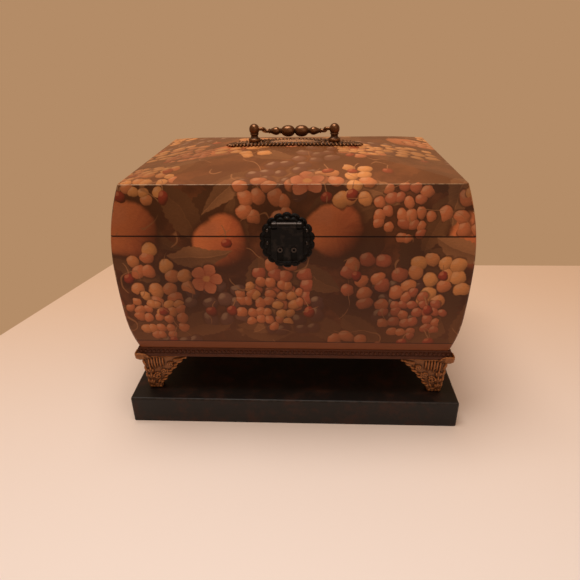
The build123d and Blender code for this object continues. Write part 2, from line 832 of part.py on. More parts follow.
with BuildPart() as case_wall_lining:
    lining_bottom = wall_foot + lining_thickness + lining_gap
    with BuildSketch(Plane.XY.offset(lining_bottom)):
        lining_plan()
    extrude(amount=case_rim - lining_reveal - lining_bottom)
finish(case_wall_lining, "case_wall_lining")

# Lining of the lid: four wall pieces and an arched piece under the top
with BuildPart() as lid_wall_lining:
    with BuildSketch(Plane.XY.offset(lid_rim + lining_reveal)):
        lining_plan()
    extrude(amount=lid_side_height + lid_rise)
    for space in arch_spaces(lid_top_thickness + lining_thickness + 2 * lining_gap):
        add(space, mode=Mode.INTERSECT)
finish(lid_wall_lining, "lid_wall_lining")

with BuildPart() as lid_top_lining:
    with BuildSketch(Plane.XY.offset(lid_rim)):
        Rectangle(2 * lining_half_width, 2 * lining_half_depth)
        with Locations(*post_points):
            Circle(handle_screw_radius * screw_head_share + swing_clearance, mode=Mode.SUBTRACT)
    extrude(amount=lid_ridge - lid_rim)
    add(arched_slab(-lid_top_thickness - lining_gap, lid_top_thickness + lining_gap + lining_thickness),
        mode=Mode.INTERSECT)
finish(lid_top_lining, "lid_top_lining")

# Handle: a lobed plate bent to the arched top, two posts and a drop handle that lies back on the plate
plate_top = lid_ridge + plate_thickness
pivot_z = plate_top + post_pivot_height
post_foot = arch_height(long_arch_radius, post_spacing / 2 + post_base_radius, -plate_thickness)
post_sink = plate_top - post_foot

with BuildPart() as handle_plate:
    with BuildSketch(Plane.XY.offset(lid_edge)):
        SlotOverall(plate_length - 2 * plate_tip_radius, plate_depth - plate_lobe_radius)
        lobe_reach = plate_length / 2 - plate_depth / 2
        lobe_pitch = 2 * lobe_reach / (plate_lobe_count - 1)
        with GridLocations(lobe_pitch, plate_depth - 2 * plate_lobe_radius, plate_lobe_count, 2):
            Circle(plate_lobe_radius)
        with GridLocations(plate_length - 2 * plate_tip_radius, 0, 2, 1):
            Circle(plate_tip_radius)
        with Locations(*post_points):
            Circle(handle_screw_radius + seat_clearance, mode=Mode.SUBTRACT)
    extrude(amount=plate_top + plate_thickness - lid_edge)
    add(arched_slab(plate_thickness, 0), mode=Mode.INTERSECT)
finish(handle_plate, "handle_plate")

for name, x in post_places:
    inward = -1 if x > 0 else 1
    with BuildPart() as handle_post:
        with Locations((x, 0, post_foot)):
            Cylinder(post_base_radius, post_base_height + post_sink, align=(Align.CENTER, Align.CENTER, Align.MIN))
            Cylinder(post_neck_radius, post_pivot_height + post_sink, align=(Align.CENTER, Align.CENTER, Align.MIN))
        with Locations((x, 0, pivot_z)):
            Sphere(post_ball_radius)
        add(under_arch(-plate_thickness), mode=Mode.SUBTRACT)
        with Locations((x, 0, post_foot)):
            Cylinder(
                handle_screw_radius + seat_clearance,
                post_sink + handle_screw_grip + seat_clearance,
                align=(Align.CENTER, Align.CENTER, Align.MIN),
                mode=Mode.SUBTRACT,
            )
        with BuildSketch(Plane.YZ.offset(x - inward * (bail_pin_overrun + swing_clearance))):
            with Locations((0, pivot_z)):
                Circle(bail_wire_radius + running_clearance)
        extrude(amount=inward * 2 * post_ball_radius, mode=Mode.SUBTRACT)
    finish(handle_post, f"handle_post_{name}")

screw_head_edge = post_spacing / 2 + handle_screw_radius * screw_head_share
screw_seat = arch_height(long_arch_radius, screw_head_edge, lid_top_thickness) - seat_clearance
handle_screws = round_head_screws(
    [Location((x, 0, screw_seat), (180, 0, 0)) for name, x in post_places],
    handle_screw_radius,
    plate_top + handle_screw_grip - screw_seat - seat_clearance,
)
finish(handle_screws, "handle_screws")

bail_rest_angle = asin((post_pivot_height - bail_bead_radius - bail_rest_gap) / bail_depth)
bail_plane = Plane(
    origin=(0, 0, pivot_z), x_dir=(1, 0, 0), z_dir=(0, sin(bail_rest_angle), cos(bail_rest_angle))
)
arm_x = post_spacing / 2 - post_ball_radius - bail_arm_gap - bail_wire_radius
pin_end = post_spacing / 2 + bail_pin_overrun


def turned_bulge(start, end, radius, peak_share=0.5):
    """Half outline of a turned bulge on the bar, widest at a share of its length."""
    first = (start, bail_depth)
    last = (end, bail_depth)
    peak = (start + (end - start) * peak_share, bail_depth + radius)
    ThreePointArc(first, peak, last)
    Line(last, first)


with BuildPart() as handle_bail:
    with BuildLine(bail_plane) as bail_path:
        FilletPolyline(
            (-pin_end, 0),
            (-arm_x, 0),
            (-arm_x, bail_depth),
            (arm_x, bail_depth),
            (arm_x, 0),
            (pin_end, 0),
            radius=bail_bend_radius,
        )
    with BuildSketch(Plane(origin=bail_path.line @ 0, z_dir=bail_path.line % 0)):
        Circle(bail_wire_radius)
    sweep(path=bail_path.line)
    spindle_start = bail_bead_length + bail_neck_length
    for side in (-1, 1):
        with BuildSketch(bail_plane):
            with BuildLine():
                turned_bulge(0, side * bail_bead_length, bail_bead_radius)
            make_face()
        revolve(axis=Axis(bail_plane.from_local_coords((0, bail_depth, 0)), (1, 0, 0)))
        with BuildSketch(bail_plane):
            with BuildLine():
                turned_bulge(
                    side * spindle_start,
                    side * (spindle_start + bail_spindle_length),
                    bail_spindle_radius,
                    bail_spindle_peak,
                )
            make_face()
        revolve(axis=Axis(bail_plane.from_local_coords((0, bail_depth, 0)), (1, 0, 0)))
        with Locations(bail_plane.from_local_coords((side * arm_x, bail_depth / 2, 0))):
            Sphere(bail_collar_radius)
finish(handle_bail, "handle_bail")

bail_swing = 180 + 2 * degrees(bail_rest_angle)
print("lid hinge at", round(hinge_y, 3), round(joint_height, 3), "opens", lid_opening_angle)
print("clasp hinge at", round(barrel_y, 3), round(barrel_z, 3), "radius", round(barrel_radius, 3))
print("bail pivot at", round(pivot_z, 3), "swings", round(bail_swing, 2))
print("inner half sizes", round(inner_half_width, 2), round(inner_half_depth, 2))
print("lid ceiling at the wall", round(arch_height(long_arch_radius, inner_half_width, lid_top_thickness), 2))
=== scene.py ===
import json
from math import cos, pi, radians, sin, sqrt

import bmesh
import bpy
from bpy.props import FloatProperty, FloatVectorProperty, IntProperty, PointerProperty
from mathutils import Matrix, Vector


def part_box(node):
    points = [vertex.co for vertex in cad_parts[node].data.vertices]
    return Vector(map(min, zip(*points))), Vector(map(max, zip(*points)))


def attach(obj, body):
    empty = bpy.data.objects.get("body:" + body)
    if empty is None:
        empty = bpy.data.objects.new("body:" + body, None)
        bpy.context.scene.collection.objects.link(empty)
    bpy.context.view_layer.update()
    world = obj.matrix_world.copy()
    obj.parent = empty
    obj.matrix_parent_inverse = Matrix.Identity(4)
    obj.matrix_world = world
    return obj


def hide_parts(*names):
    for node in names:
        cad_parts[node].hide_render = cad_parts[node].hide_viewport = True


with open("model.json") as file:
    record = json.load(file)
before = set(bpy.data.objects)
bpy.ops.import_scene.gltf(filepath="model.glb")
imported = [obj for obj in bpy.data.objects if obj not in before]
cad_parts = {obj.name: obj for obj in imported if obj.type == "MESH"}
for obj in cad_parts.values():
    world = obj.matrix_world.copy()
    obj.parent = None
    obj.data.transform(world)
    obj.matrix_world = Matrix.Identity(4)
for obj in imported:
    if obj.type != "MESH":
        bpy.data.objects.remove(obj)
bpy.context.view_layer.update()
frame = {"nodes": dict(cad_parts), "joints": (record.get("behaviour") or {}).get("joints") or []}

bl_info = {
    "name": "Bowed keepsake box",
    "version": (1, 0, 0),
    "blender": (4, 5, 0),
    "location": "3D View > Sidebar > Keepsake Box",
    "description": "Gives the packed keepsake box its print, castings, hardware, lining and studio",
    "category": "Add Mesh",
}

# Frame: metres, X along the box, Y from the front to the back, Z up. MM turns millimetres into metres.
MM = 0.001


def middle_x(node):
    """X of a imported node's middle, in millimetres."""
    low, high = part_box(node)
    return (low.x + high.x) / 2 / MM


# Levels and half sizes of the box, in millimetres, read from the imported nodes
CASE_LOW, CASE_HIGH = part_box("case_front")
WALL_FOOT = CASE_LOW.z / MM
CASE_RIM = CASE_HIGH.z / MM
BELLY_X = CASE_HIGH.x / MM
BELLY_Y = -CASE_LOW.y / MM
LID_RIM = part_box("lid_front")[0].z / MM
LID_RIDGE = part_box("lid_top")[1].z / MM
BOARD_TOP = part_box("plinth")[1].z / MM
PLATE_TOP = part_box("handle_plate")[1].z / MM
JOINT_Z = (CASE_RIM + LID_RIM) / 2
POST_X = middle_x("handle_post_right")
CLASP_X = middle_x("clasp_pin")

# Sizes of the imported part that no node's box gives, in millimetres
LID_SIDE_HEIGHT = 37.7
BELLY_Z = 150.0
UPPER_BOW = 205.0
STRIP_TOP = 79.4
MOULDING_PROUD = 2.8
LINING_GAP = 0.2
LINING_THICKNESS = 1.5
LID_TOP_THICKNESS = 8.0

LID_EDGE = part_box("lid_left")[0].z / MM + LID_SIDE_HEIGHT
FOOT_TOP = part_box("base_moulding_front")[0].z / MM
FOOT_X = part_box("base_moulding_front")[1].x / MM - MOULDING_PROUD
FOOT_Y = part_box("base_moulding_right")[1].y / MM - MOULDING_PROUD
INNER_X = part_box("case_floor_lining")[1].x / MM + LINING_GAP
INNER_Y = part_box("case_floor_lining")[1].y / MM + LINING_GAP


def joint_place(name):
    """Place of a hinge's axis in millimetres."""
    found = [joint for joint in frame["joints"] if joint["name"] == name][0]
    return Vector(found["pos_m"]) / MM


def linear(red, green, blue):
    """A colour as a screen shows it, 0 to 255, turned into the linear values that shaders take."""
    parts = (red, green, blue)
    return tuple(((part / 255 + 0.055) / 1.055) ** 2.4 if part > 10 else part / 3294 for part in parts)


def upper_inset(height):
    """How far the bowed face above the belly stands in from the belly, in millimetres."""
    return UPPER_BOW - sqrt(UPPER_BOW**2 - (height - BELLY_Z) ** 2)


def front_y(height):
    """Y of the bowed front near the belly and above it, in millimetres."""
    return upper_inset(max(height, BELLY_Z)) - BELLY_Y


EDGE_X = BELLY_X - upper_inset(LID_EDGE)
EDGE_Y = BELLY_Y - upper_inset(LID_EDGE)
RISE = LID_RIDGE - LID_EDGE


def arch_z(x, y):
    """Height of the lid's cushion top, which is arched along and across, in millimetres."""
    heights = []
    for edge, off_centre in ((EDGE_X, x), (EDGE_Y, y)):
        radius = (edge**2 + RISE**2) / (2 * RISE)
        heights.append(LID_RIDGE - radius + sqrt(radius**2 - off_centre**2))
    return min(heights)


# Settings that a user may change


def shade(name, description, colour):
    """A colour setting."""
    return FloatVectorProperty(
        name=name, description=description, subtype="COLOR", size=3, min=0, max=1, default=linear(*colour)
    )


def size_setting(name, description, default, lowest, highest):
    """A length setting, given in millimetres."""
    span = {"min": lowest * MM, "max": highest * MM}
    return FloatProperty(name=name, description=description, default=default * MM, unit="LENGTH", **span)


class PrintColours(bpy.types.PropertyGroup):
    """Colours of the fruit-and-leaf print on the box."""

    ground: shade("Ground", "Dark ground of the print", (52, 25, 12))
    ground_light: shade("Lit ground", "Ground where light falls on it", (92, 50, 27))
    leaf_dark: shade("Shaded leaves", "Leaves at the back", (62, 38, 21))
    leaf: shade("Leaves", "Leaves in the middle", (94, 60, 35))
    leaf_light: shade("Lit leaves", "Leaves in front and their ribs", (140, 94, 60))
    golden: shade("Golden fruit", "Golden berries", (184, 122, 70))
    amber: shade("Amber fruit", "Amber berries", (166, 94, 58))
    coral: shade("Coral fruit", "Coral berries", (142, 72, 48))
    plum: shade("Dark grapes", "Grapes in the shade", (66, 40, 34))
    plum_light: shade("Bloom on dark grapes", "Lit side of the dark grapes", (104, 70, 56))
    # Painted sheen: a pale tone mixed into the print, all over but more towards the foot and on the top, in
    # place of the table and the wall reflected in the varnish
    haze_and_painted_sheen: shade("Varnish haze", "Tone that the old varnish gives the top", (150, 90, 50))
    cherry: shade("Cherries", "Red cherries", (128, 44, 30))
    peach: shade("Large fruit", "Lit side of the large fruit", (190, 106, 62))
    blush: shade("Blush", "Red side of the large fruit", (146, 66, 40))
    blossom: shade("Blossom", "Petals", (178, 106, 72))
    # A pale tan for the highlights drawn on the berries and for the pale patches along the lid's edges and
    # corners
    pale_tan: shade("Worn edge", "Pale paper that shows along the lid's edge", (196, 160, 124))
    strip: shade("Foot strip", "Painted strip along the foot of the walls", (118, 66, 38))
    rim: shade("Rim paint", "Paint on the rims and the inner edges", (40, 22, 17))


class FinishColours(bpy.types.PropertyGroup):
    """Colours of the paints, metals and cloth."""

    board: shade("Board paint", "Black paint of the board under the box", (22, 17, 15))
    moulding: shade("Moulding stain", "Stain of the beaded moulding", (98, 50, 28))
    gilt: shade("Gilt", "Copper gilt of the feet", (172, 112, 66))
    gilt_low: shade("Gilt in the hollows", "Dark patina between the leaves of the feet", (40, 23, 14))
    bronze: shade("Bronze", "Rubbed high parts of the handle", (124, 82, 50))
    bronze_low: shade("Bronze in the hollows", "Dark patina of the handle", (30, 20, 14))
    clasp: shade("Clasp paint", "Black of the clasp", (10, 7, 6))
    nail: shade("Nail heads", "Dark metal of the nails and studs", (64, 56, 52))
    hinge: shade("Hinge brass", "Brass of the hinges", (176, 138, 78))
    screw: shade("Screw steel", "Plated steel of the screws", (176, 172, 166))
    wood: shade("Bare wood", "Bottom board", (134, 96, 62))
    velvet: shade("Velvet", "Cloth of the lining", (88, 20, 22))


class BoxSizes(bpy.types.PropertyGroup):
    """Sizes of the details that are modelled on the box."""

    bead_pitch: size_setting("Bead pitch", "Distance between beads of the moulding", 3.8, 2, 8)
    bead_radius: size_setting("Bead radius", "Radius of the moulding's beads", 1.5, 0.5, 3)
    cast_grain: size_setting("Casting grain", "Cell size at which cast relief is fused", 0.45, 0.3, 1)
    scallops: IntProperty(
        name="Scallops", description="Scallops round the clasp's plate", default=18, min=8, max=40
    )
    pile: size_setting("Lining crown", "How far the lining pads swell", 0.9, 0, 3)


# Shader maths


class Value:
    """Something that varies over a surface. Arithmetic on it adds Math nodes."""

    def __init__(self, paint, socket):
        self.paint = paint
        self.socket = socket

    def __add__(self, other):
        return self.paint.math("ADD", self, other)

    def __sub__(self, other):
        return self.paint.math("SUBTRACT", self, other)

    def __rsub__(self, other):
        return self.paint.math("SUBTRACT", other, self)

    def __mul__(self, other):
        return self.paint.math("MULTIPLY", self, other)

    def __truediv__(self, other):
        return self.paint.math("DIVIDE", self, other)

    def __pow__(self, other):
        return self.paint.math("POWER", self, other)

    def __abs__(self):
        return self.paint.math("ABSOLUTE", self)

    __radd__ = __add__
    __rmul__ = __mul__

    def other(self, name):
        """Another output of the same node."""
        return Value(self.paint, self.socket.node.outputs[name])

    def parts(self):
        """The three parts of a vector or colour."""
        split = self.paint.node("ShaderNodeSeparateXYZ", {}, {0: self})
        return split, split.other("Y"), split.other("Z")


class Nodes:
    """A node tree under construction, started empty on a material or a world."""

    def __init__(self, owner):
        owner.use_nodes = True
        self.tree = owner.node_tree
        self.tree.nodes.clear()

    def node(self, kind, settings=None, values=None, output=0):
        """Add a node, set it, feed its sockets and return one of its outputs."""
        made = self.tree.nodes.new(kind)
        for name, setting in (settings or {}).items():
            if name == "stops":
                self.set_stops(made.color_ramp, setting)
            else:
                setattr(made, name, setting)
        for name, value in (values or {}).items():
            if isinstance(value, Value):
                self.tree.links.new(value.socket, made.inputs[name])
            else:
                made.inputs[name].default_value = value
        return Value(self, made.outputs[output]) if made.outputs else made

    def set_stops(self, ramp, stops):
        """Give a colour ramp its stops, as pairs of place and colour."""
        while len(ramp.elements) < len(stops):
            ramp.elements.new(1)
        for element, (place, colour) in zip(ramp.elements, stops):
            element.position = place
            element.color = (*colour, 1)


class Paint(Nodes):
    """A material under construction."""

    def __init__(self, name):
        self.material = bpy.data.materials.new(name)
        super().__init__(self.material)

    def math(self, operation, *values):
        """One Math node on values and numbers."""
        return self.node("ShaderNodeMath", {"operation": operation}, dict(enumerate(values)))

    def soft(self, value, low, high):
        """A smooth step from 0 where the value is low to 1 where it is high."""
        limits = {"Value": value, "From Min": low, "From Max": high}
        return self.node("ShaderNodeMapRange", {"interpolation_type": "SMOOTHSTEP"}, limits)

    def most(self, first, second):
        """The greater of two values."""
        return self.math("MAXIMUM", first, second)

    def vector(self, x, y, z):
        """A vector from three values."""
        return self.node("ShaderNodeCombineXYZ", {}, {0: x, 1: y, 2: z})

    def scaled(self, colour, factor):
        """A colour or vector times a value."""
        return self.node("ShaderNodeVectorMath", {"operation": "SCALE"}, {0: colour, "Scale": factor})

    def mix(self, factor, first, second):
        """Two colours mixed by a value: the first where it is 0, the second where it is 1."""
        colours = {0: factor}
        for socket, colour in ((6, first), (7, second)):
            colours[socket] = colour if isinstance(colour, Value) else (*colour, 1)
        return self.node("ShaderNodeMix", {"data_type": "RGBA"}, colours, 2)

    def noise(self, place, scale, detail=2.0, roughness=0.5):
        """Cloudy noise from 0 to 1, with a scale in repeats per metre."""
        values = {"Vector": place, "Scale": scale, "Detail": detail, "Roughness": roughness}
        return self.node("ShaderNodeTexNoise", {}, values)

    def object_place(self):
        """Place on the object, in metres."""
        return self.node("ShaderNodeTexCoord", {}, {}, "Object")

    def facing(self):
        """Outward direction of the surface in the object's own axes."""
        return self.node("ShaderNodeTexCoord", {}, {}, "Normal").parts()

    def bump(self, height, depth, strength=1.0, over=None):
        """Relief of a height from 0 to 1, with its depth in metres, over another relief if there is one."""
        values = {"Height": height, "Distance": depth, "Strength": strength}
        if over:
            values["Normal"] = over
        return self.node("ShaderNodeBump", {}, values)

    def surface(self, **sockets):
        """Finish the material with one principled shader; underscores stand for spaces."""
        values = {}
        for name, value in sockets.items():
            plain = isinstance(value, tuple) and len(value) == 3
            values[name.replace("_", " ")] = (*value, 1) if plain else value
        shader = self.node("ShaderNodeBsdfPrincipled", {}, values)
        self.node("ShaderNodeOutputMaterial", {}, {"Surface": shader})
        return self.material


class PrintPaint(Paint):
    """The fruit-and-leaf print, drawn on a flat sheet in millimetres that is wrapped round the box."""

    back_shift = 560

    def __init__(self, name, colours):
        super().__init__(name)
        self.colours = colours

    def sheet_place(self, x, y, z, facing):
        """Place on the print's sheet: it runs round the walls, and over the front edge onto the top."""
        nx, ny, nz = facing
        is_top = self.math("GREATER_THAN", nz, 0.75)
        is_back = self.math("GREATER_THAN", ny, 0)
        is_side = self.math("GREATER_THAN", abs(nx), abs(ny))
        side_u = self.math("SIGN", x) * (y + (BELLY_X + BELLY_Y))
        back_u = self.back_shift - x
        wall_u = x + is_back * (back_u - x)
        wall_u = wall_u + is_side * (side_u - wall_u)
        top_v = y + (LID_EDGE + EDGE_Y)
        return wall_u + is_top * (x - wall_u), z + is_top * (top_v - z)

    def cells(self, u, v, spacing, randomness, shift):
        """Scatter points: the way from the nearest point, that point's place, and its three random numbers."""
        place = self.vector(u + shift[0], v + shift[1], 0)
        values = {"Vector": place, "Scale": 1 / spacing, "Randomness": randomness}
        scatter = self.node("ShaderNodeTexVoronoi", {"voronoi_dimensions": "2D"}, values)
        centre_u, centre_v, _ = scatter.other("Position").parts()
        chances = scatter.other("Color").parts()
        middle = (centre_u - shift[0], centre_v - shift[1])
        return (u - middle[0], v - middle[1]), middle, chances

    def ball(self, way, radius):
        """A round fruit lit from above and from the left: its cover, light and distance out."""
        du, dv = way
        out = (du * du + dv * dv) / (radius * radius)
        bulge = self.math("SQRT", self.most(1 - out, 0))
        light = (dv * 0.55 - du * 0.42) / radius + bulge * 0.72
        return self.soft(out, 1.12, 0.74), light, out

    def leaf(self, way, turn, length, width):
        """A pointed leaf with a rib and slanting veins: its cover and tone."""
        du, dv = way
        across_turn = self.math("COSINE", turn)
        along_turn = self.math("SINE", turn)
        along = du * across_turn + dv * along_turn
        across = dv * across_turn - du * along_turn
        across = across - (along * along) * (0.16 / length)
        share = along / length
        teeth = self.math("SINE", along * 1.3) * 0.045 + 1
        reach = self.most(1 - share * share, 0) * teeth * width * (share * -0.35 + 1)
        side = abs(across)
        cover = self.soft(reach - side, -0.2, 0.9)
        rib = self.soft(side, 0.55, 0.15)
        vein = self.soft(abs(self.math("SINE", (along - side * 0.85) * 0.85)), 0.16, 0.03)
        half = self.soft(across, -0.6, 0.6)
        tone = half * 0.28 + self.soft(side / width, 0.0, 0.9) * 0.18 + 0.34
        return cover, tone, self.most(rib, vein * 0.45)

    def leaves(self, under, place, spacing, length, width, least, shift, dark, light):
        """A layer of leaves, each turned its own way."""
        way, _, chances = self.cells(*place, spacing, 0.7, shift)
        cover, tone, ribs = self.leaf(way, chances[0] * (2 * pi), length, width)
        cover = cover * self.math("GREATER_THAN", chances[1], least)
        colour = self.mix(tone * (chances[2] * 0.9 + 0.5), dark, light)
        colour = self.mix(ribs * 0.6, colour, light)
        return self.mix(cover, under, colour)

    def berries(self, under, place, spacing, radius, shift, zones, shades):
        """A layer of small round fruit that grow in bunches, each bunch in one of the shades."""
        way, middle, chances = self.cells(*place, spacing, 0.62, shift)
        zone_way, _, zone_chances = self.cells(*middle, *zones)
        du, dv = zone_way
        stretch = du * 0.8 + dv * 0.35
        span = self.math("SQRT", stretch * stretch + (dv * 0.95 - du * 0.3) ** 2)
        inside = self.math("LESS_THAN", span, zone_chances[1] * 10 + 18)
        inside = inside * self.math("GREATER_THAN", zone_chances[2], 0.18)
        cover, light, out = self.ball(way, chances[0] * 0.8 + radius)
        c = self.colours
        chance = zone_chances[0] * 0.75 + chances[1] * 0.25
        hue = self.node("ShaderNodeValToRGB", {"stops": shades}, {0: chance})
        colour = self.mix(self.soft(light, -0.7, 0.95), self.scaled(hue, 0.34), self.scaled(hue, 1.08))
        colour = self.mix(self.soft(out, 0.5, 1.0) * 0.2, colour, self.scaled(hue, 1.1))
        colour = self.mix(self.soft(light, 0.78, 1.0) * 0.3, colour, c.pale_tan)
        shadow = self.soft(out, 1.9, 0.9) * inside * 0.75
        under = self.mix(shadow, under, c.ground)
        return self.mix(cover * inside, under, colour)

    def large_fruit(self, under, place, spacing, radius, least, shift):
        """A layer of large round fruit with a red cheek and a cleft."""
        way, _, chances = self.cells(*place, spacing, 0.55, shift)
        du, dv = way
        shown = self.math("GREATER_THAN", chances[1], least)
        angle = self.math("ARCTAN2", dv, du)
        cleft = self.math("POWER", abs(self.math("COSINE", angle * 0.5 + chances[2] * 3)), 24)
        size = (chances[0] * 0.25 + 0.88) * radius * (1 - cleft * 0.16)
        cover, light, out = self.ball(way, size)
        c = self.colours
        cheek = self.soft((du * 0.8 - dv * 0.3) / radius + chances[2] * 0.4, -0.3, 0.8)
        streaks = self.noise(self.vector(angle * 2.2, out * 0.25, chances[0] * 9), 3, 3)
        skin = self.mix(cheek * (streaks * 0.9 + 0.25), c.peach, c.blush)
        colour = self.mix(self.soft(light, -0.45, 0.8), self.scaled(skin, 0.16), skin)
        colour = self.mix(self.soft(light, 0.86, 0.99) * 0.5, colour, c.blossom)
        under = self.mix(self.soft(out, 1.5, 0.95) * shown * 0.8, under, c.ground)
        return self.mix(cover * shown, under, colour)

    def blossoms(self, under, place, spacing, radius, least, shift):
        """A layer of five-petalled blossoms."""
        way, _, chances = self.cells(*place, spacing, 0.6, shift)
        du, dv = way
        shown = self.math("GREATER_THAN", chances[1], least)
        angle = self.math("ARCTAN2", dv, du) + chances[0] * 6
        petal = abs(self.math("COSINE", angle * 2.5))
        far = self.math("SQRT", du * du + dv * dv)
        reach = (petal ** 0.45 * 0.42 + 0.58) * radius
        cover = self.soft(reach - far, 0.0, 0.7)
        crease = self.soft(petal, 0.0, 0.45)
        light = self.soft(far / radius, 0.1, 0.95) * 0.5 + crease * 0.5
        c = self.colours
        fine = self.noise(self.vector(angle * 3, far * 0.05, 0), 4, 2)
        colour = self.mix(light * (fine * 0.5 + 0.6), c.blush, c.blossom)
        heart = self.soft(far / radius, 0.3, 0.16)
        colour = self.mix(heart, colour, c.golden)
        under = self.mix(self.soft(reach - far, -3.5, 0.3) * shown * 0.7, under, c.ground)
        return self.mix(cover * shown, under, colour)

    def cherries(self, under, place, spacing, radius, least, shift):
        """A layer of red cherries with thin bent stalks."""
        way, _, chances = self.cells(*place, spacing, 0.6, shift)
        du, dv = way
        shown = self.math("GREATER_THAN", chances[1], least)
        cover, light, _ = self.ball(way, radius)
        c = self.colours
        bend = du - (dv * dv) * 0.035 * (chances[2] * 2 - 1)
        stalk = self.soft(abs(bend), 0.6, 0.3) * self.soft(dv, 0.0, 1.0) * self.soft(dv, 15.0, 13.5)
        under = self.mix(stalk * shown, under, c.leaf_light)
        colour = self.mix(self.soft(light, -0.3, 0.9), dimmed(c.cherry, 0.2), c.cherry)
        colour = self.mix(self.soft(light, 0.84, 0.97) * 0.6, colour, c.blossom)
        return self.mix(cover * shown, under, colour)

    def wobbled(self, sheet, u, v):
        """Places on the sheet moved a little to and fro, so that the motifs look drawn by hand."""
        for scale, detail, reach in ((0.045, 2, 9), (0.35, 1, 1.2)):
            sway = self.noise(sheet, scale, detail).other("Color").parts()
            u = u + (sway[0] - 0.5) * reach
            v = v + (sway[1] - 0.5) * reach
        return u, v

    def motifs(self, sheet, place, mottle):
        """The print's layers, from its mottled ground to the tendrils in front."""
        c = self.colours
        fruit = (
            (0.0, c.golden), (0.42, c.golden), (0.54, c.amber),
            (0.74, c.amber), (0.86, c.coral), (1.0, c.coral),
        )
        dark = ((0.0, c.plum), (0.6, c.plum), (1.0, c.plum_light))
        colour = self.mix(self.soft(mottle, 0.42, 0.68), c.ground, c.ground_light)
        for layer, *numbers in (
            (self.leaves, 52, 36, 15, 0.05, (13, 47), c.ground, c.leaf_dark),
            (self.leaves, 46, 29, 11, 0.15, (141, 12), c.leaf_dark, c.leaf),
            (self.large_fruit, 88, 22, 0.3, (81, 20)),
            (self.leaves, 56, 27, 9, 0.4, (71, 205), c.leaf_dark, c.leaf_light),
            (self.berries, 12.6, 5.8, (9, 61), (84, 0.7, (31, 77)), dark),
            (self.berries, 12.0, 5.7, (5, 3), (76, 0.6, (205, 33)), fruit),
            (self.berries, 8.3, 4.0, (302, 157), (92, 0.6, (140, 95)), fruit),
            (self.cherries, 31, 4.6, 0.72, (19, 121)),
            (self.blossoms, 83, 13.5, 0.42, (88, 152)),
        ):
            colour = layer(colour, place, *numbers)
        curl = self.noise(sheet, 0.022, 1)
        shown = self.soft(self.noise(sheet, 0.05, 1), 0.5, 0.56)
        tendril = self.soft(abs(curl - 0.5), 0.006, 0.003) * shown
        return self.mix(tendril * 0.7, colour, c.leaf_light)

    def trimmed(self, colour, x, y, z):
        """The print with the strip along the foot of the walls, the line above it and the lid's joint line."""
        c = self.colours
        grain = self.noise(self.vector(x * 0.1, y * 0.1, z * 2), 1.2, 3)
        strip = self.scaled(self.vector(*c.strip), grain * 0.5 + 0.75)
        colour = self.mix(self.soft(z, STRIP_TOP + 1.2, STRIP_TOP + 0.4) * 0.85, colour, c.rim)
        colour = self.mix(self.soft(z, STRIP_TOP + 0.2, STRIP_TOP - 0.2), colour, strip)
        return self.mix(self.soft(abs(z - JOINT_Z), 0.85, 0.45) * 0.8, colour, c.rim)

    def paled_edges(self, colour, x, y, z, facing):
        """The print made paler in noisy patches along the lid's crisp edges and at the corners."""
        patchiness = self.noise(self.vector(x, y, z), 0.12, 4, 0.7)
        on_edge = self.soft(facing[2], 0.42, 0.62) * self.soft(facing[2], 0.95, 0.9)
        on_corner = self.soft(abs(facing[0]) * abs(facing[1]), 0.3, 0.48)
        for place, low, high in ((on_edge, 0.35, 0.6), (on_corner, 0.52, 0.62)):
            colour = self.mix(place * self.soft(patchiness, low, high) * 0.6, colour, self.colours.pale_tan)
        return colour


def dimmed(colour, share):
    """A plain colour with only a share of its light."""
    return tuple(part * share for part in colour)


class Palette:
    """Plain colours read from a group of settings."""

    def __init__(self, group):
        for name in group.__annotations__:
            setattr(self, name, tuple(getattr(group, name)))


